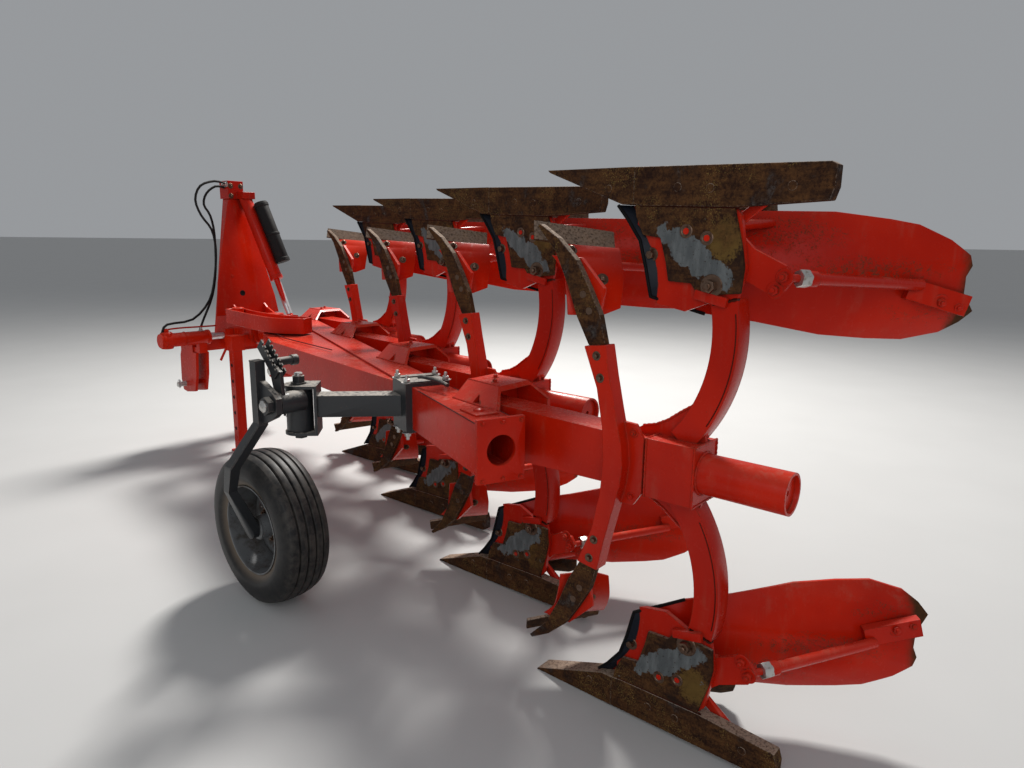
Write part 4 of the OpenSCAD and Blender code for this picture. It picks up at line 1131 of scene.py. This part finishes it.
def tube_caps():
    """Bands and end caps of the document tube beside the turnover cylinder."""
    caps = Form()
    way = GLAND - BARREL_TOP
    axis_at = BARREL_TOP + 0.0953 * Vector((0.613, -0.677, 0.406))
    for share, length in ((0.155, 0.022), (0.520, 0.014), (0.825, 0.026)):
        band = [(0.030, 0), (0.0515, 0), (0.0545, 0.004), (0.0545, length), (0.0515, length + 0.004),
                (0.030, length + 0.004)]
        caps.add(HEAD_PLACE @ set_to(axis_at + share * way, way), turned, band, 32)
    caps.add(HEAD_PLACE @ set_to(axis_at + 0.845 * way, way), turned,
             [(0.050, 0), (0.048, 0.012), (0.036, 0.018), (0, 0.018)], 32)
    caps.add(HEAD_PLACE @ set_to(axis_at + 0.155 * way, -way), turned,
             [(0.050, 0), (0.050, 0.006), (0.044, 0.012), (0, 0.012)], 32)
    piece("tube_caps", caps, PLASTIC, "headstock")


def cylinder_eye():
    """The upright eye at the offset cylinder's end, with its nut."""
    eye = Form()
    centre = Vector((-0.622, OFFSET_Y, OFFSET_Z))
    eye.add(HEAD_PLACE @ Matrix.Translation(centre - 0.058 * UP), turned,
            [(0, 0), (0.038, 0), (0.042, 0.004), (0.042, 0.112), (0.038, 0.116), (0, 0.116)], 28)
    eye.add(HEAD_PLACE @ Matrix.Translation(centre + 0.058 * UP), hex_bolt, 0.034, 0.006)
    piece("cylinder_eye", eye, RED, "headstock")


dress_cad_nodes()
frog_bolts()
rusty_bolts()
landside_bolts()
red_bolts()
shin_edges()
body_seams()
stay_nuts()
holder_bolts()
leg_seams()
holder_seams()
skimmer_bolts()
beam_fittings()
wheel_fittings()
carrier_fittings()
clamp_fittings()
cylinder_rods()
head_collars()
head_bolts()
stand_holes()
mast_plate()
tube_caps()
cylinder_eye()
offset_link()


# Camera, light and floor

def make_camera():
    data = bpy.data.cameras.new("camera")
    data.sensor_width = SENSOR
    data.lens = FOCAL_PIXELS / IMAGE_WIDTH * SENSOR
    data.clip_start = 0.05
    camera = bpy.data.objects.new("camera", data)
    axes = Matrix((CAMERA_RIGHT, CAMERA_UP, CAMERA_BACK)).transposed()
    camera.matrix_world = Matrix.Translation(at(*CAMERA_AT)) @ axes.to_4x4()
    bpy.context.scene.collection.objects.link(camera)
    bpy.context.scene.camera = camera


def area_light(name, place, target, size, power, color):
    data = bpy.data.lights.new(name, "AREA")
    data.shape = "SQUARE"
    data.size = size
    data.energy = power
    data.color = color
    light = bpy.data.objects.new(name, data)
    light.matrix_world = set_to(Vector(place), Vector(place) - Vector(target))
    bpy.context.scene.collection.objects.link(light)


def make_light():
    area_light("key", place=(4.5, 2.5, 7.5), target=(0, 0, 0.8), size=1.8, power=1150,
               color=(1.0, 0.97, 0.93))
    area_light("fill", place=(-6.0, -5.0, 3.5), target=(0, 0, 0.9), size=5.0, power=130,
               color=(0.96, 0.98, 1.0))
    world = bpy.data.worlds.new("studio")
    world.use_nodes = True
    background = world.node_tree.nodes["Background"]
    background.inputs["Color"].default_value = (0.86, 0.89, 0.93, 1)
    background.inputs["Strength"].default_value = 0.36
    bpy.context.scene.world = world


def make_floor():
    grid = bmesh.new()
    bmesh.ops.create_grid(grid, x_segments=1, y_segments=1, size=400)
    mesh = bpy.data.meshes.new("floor")
    grid.to_mesh(mesh)
    grid.free()
    mesh.materials.append(floor_material())
    floor = bpy.data.objects.new("floor", mesh)
    bpy.context.scene.collection.objects.link(floor)


make_camera()
make_light()
make_floor()
bpy.context.scene.view_settings.view_transform = "Standard"
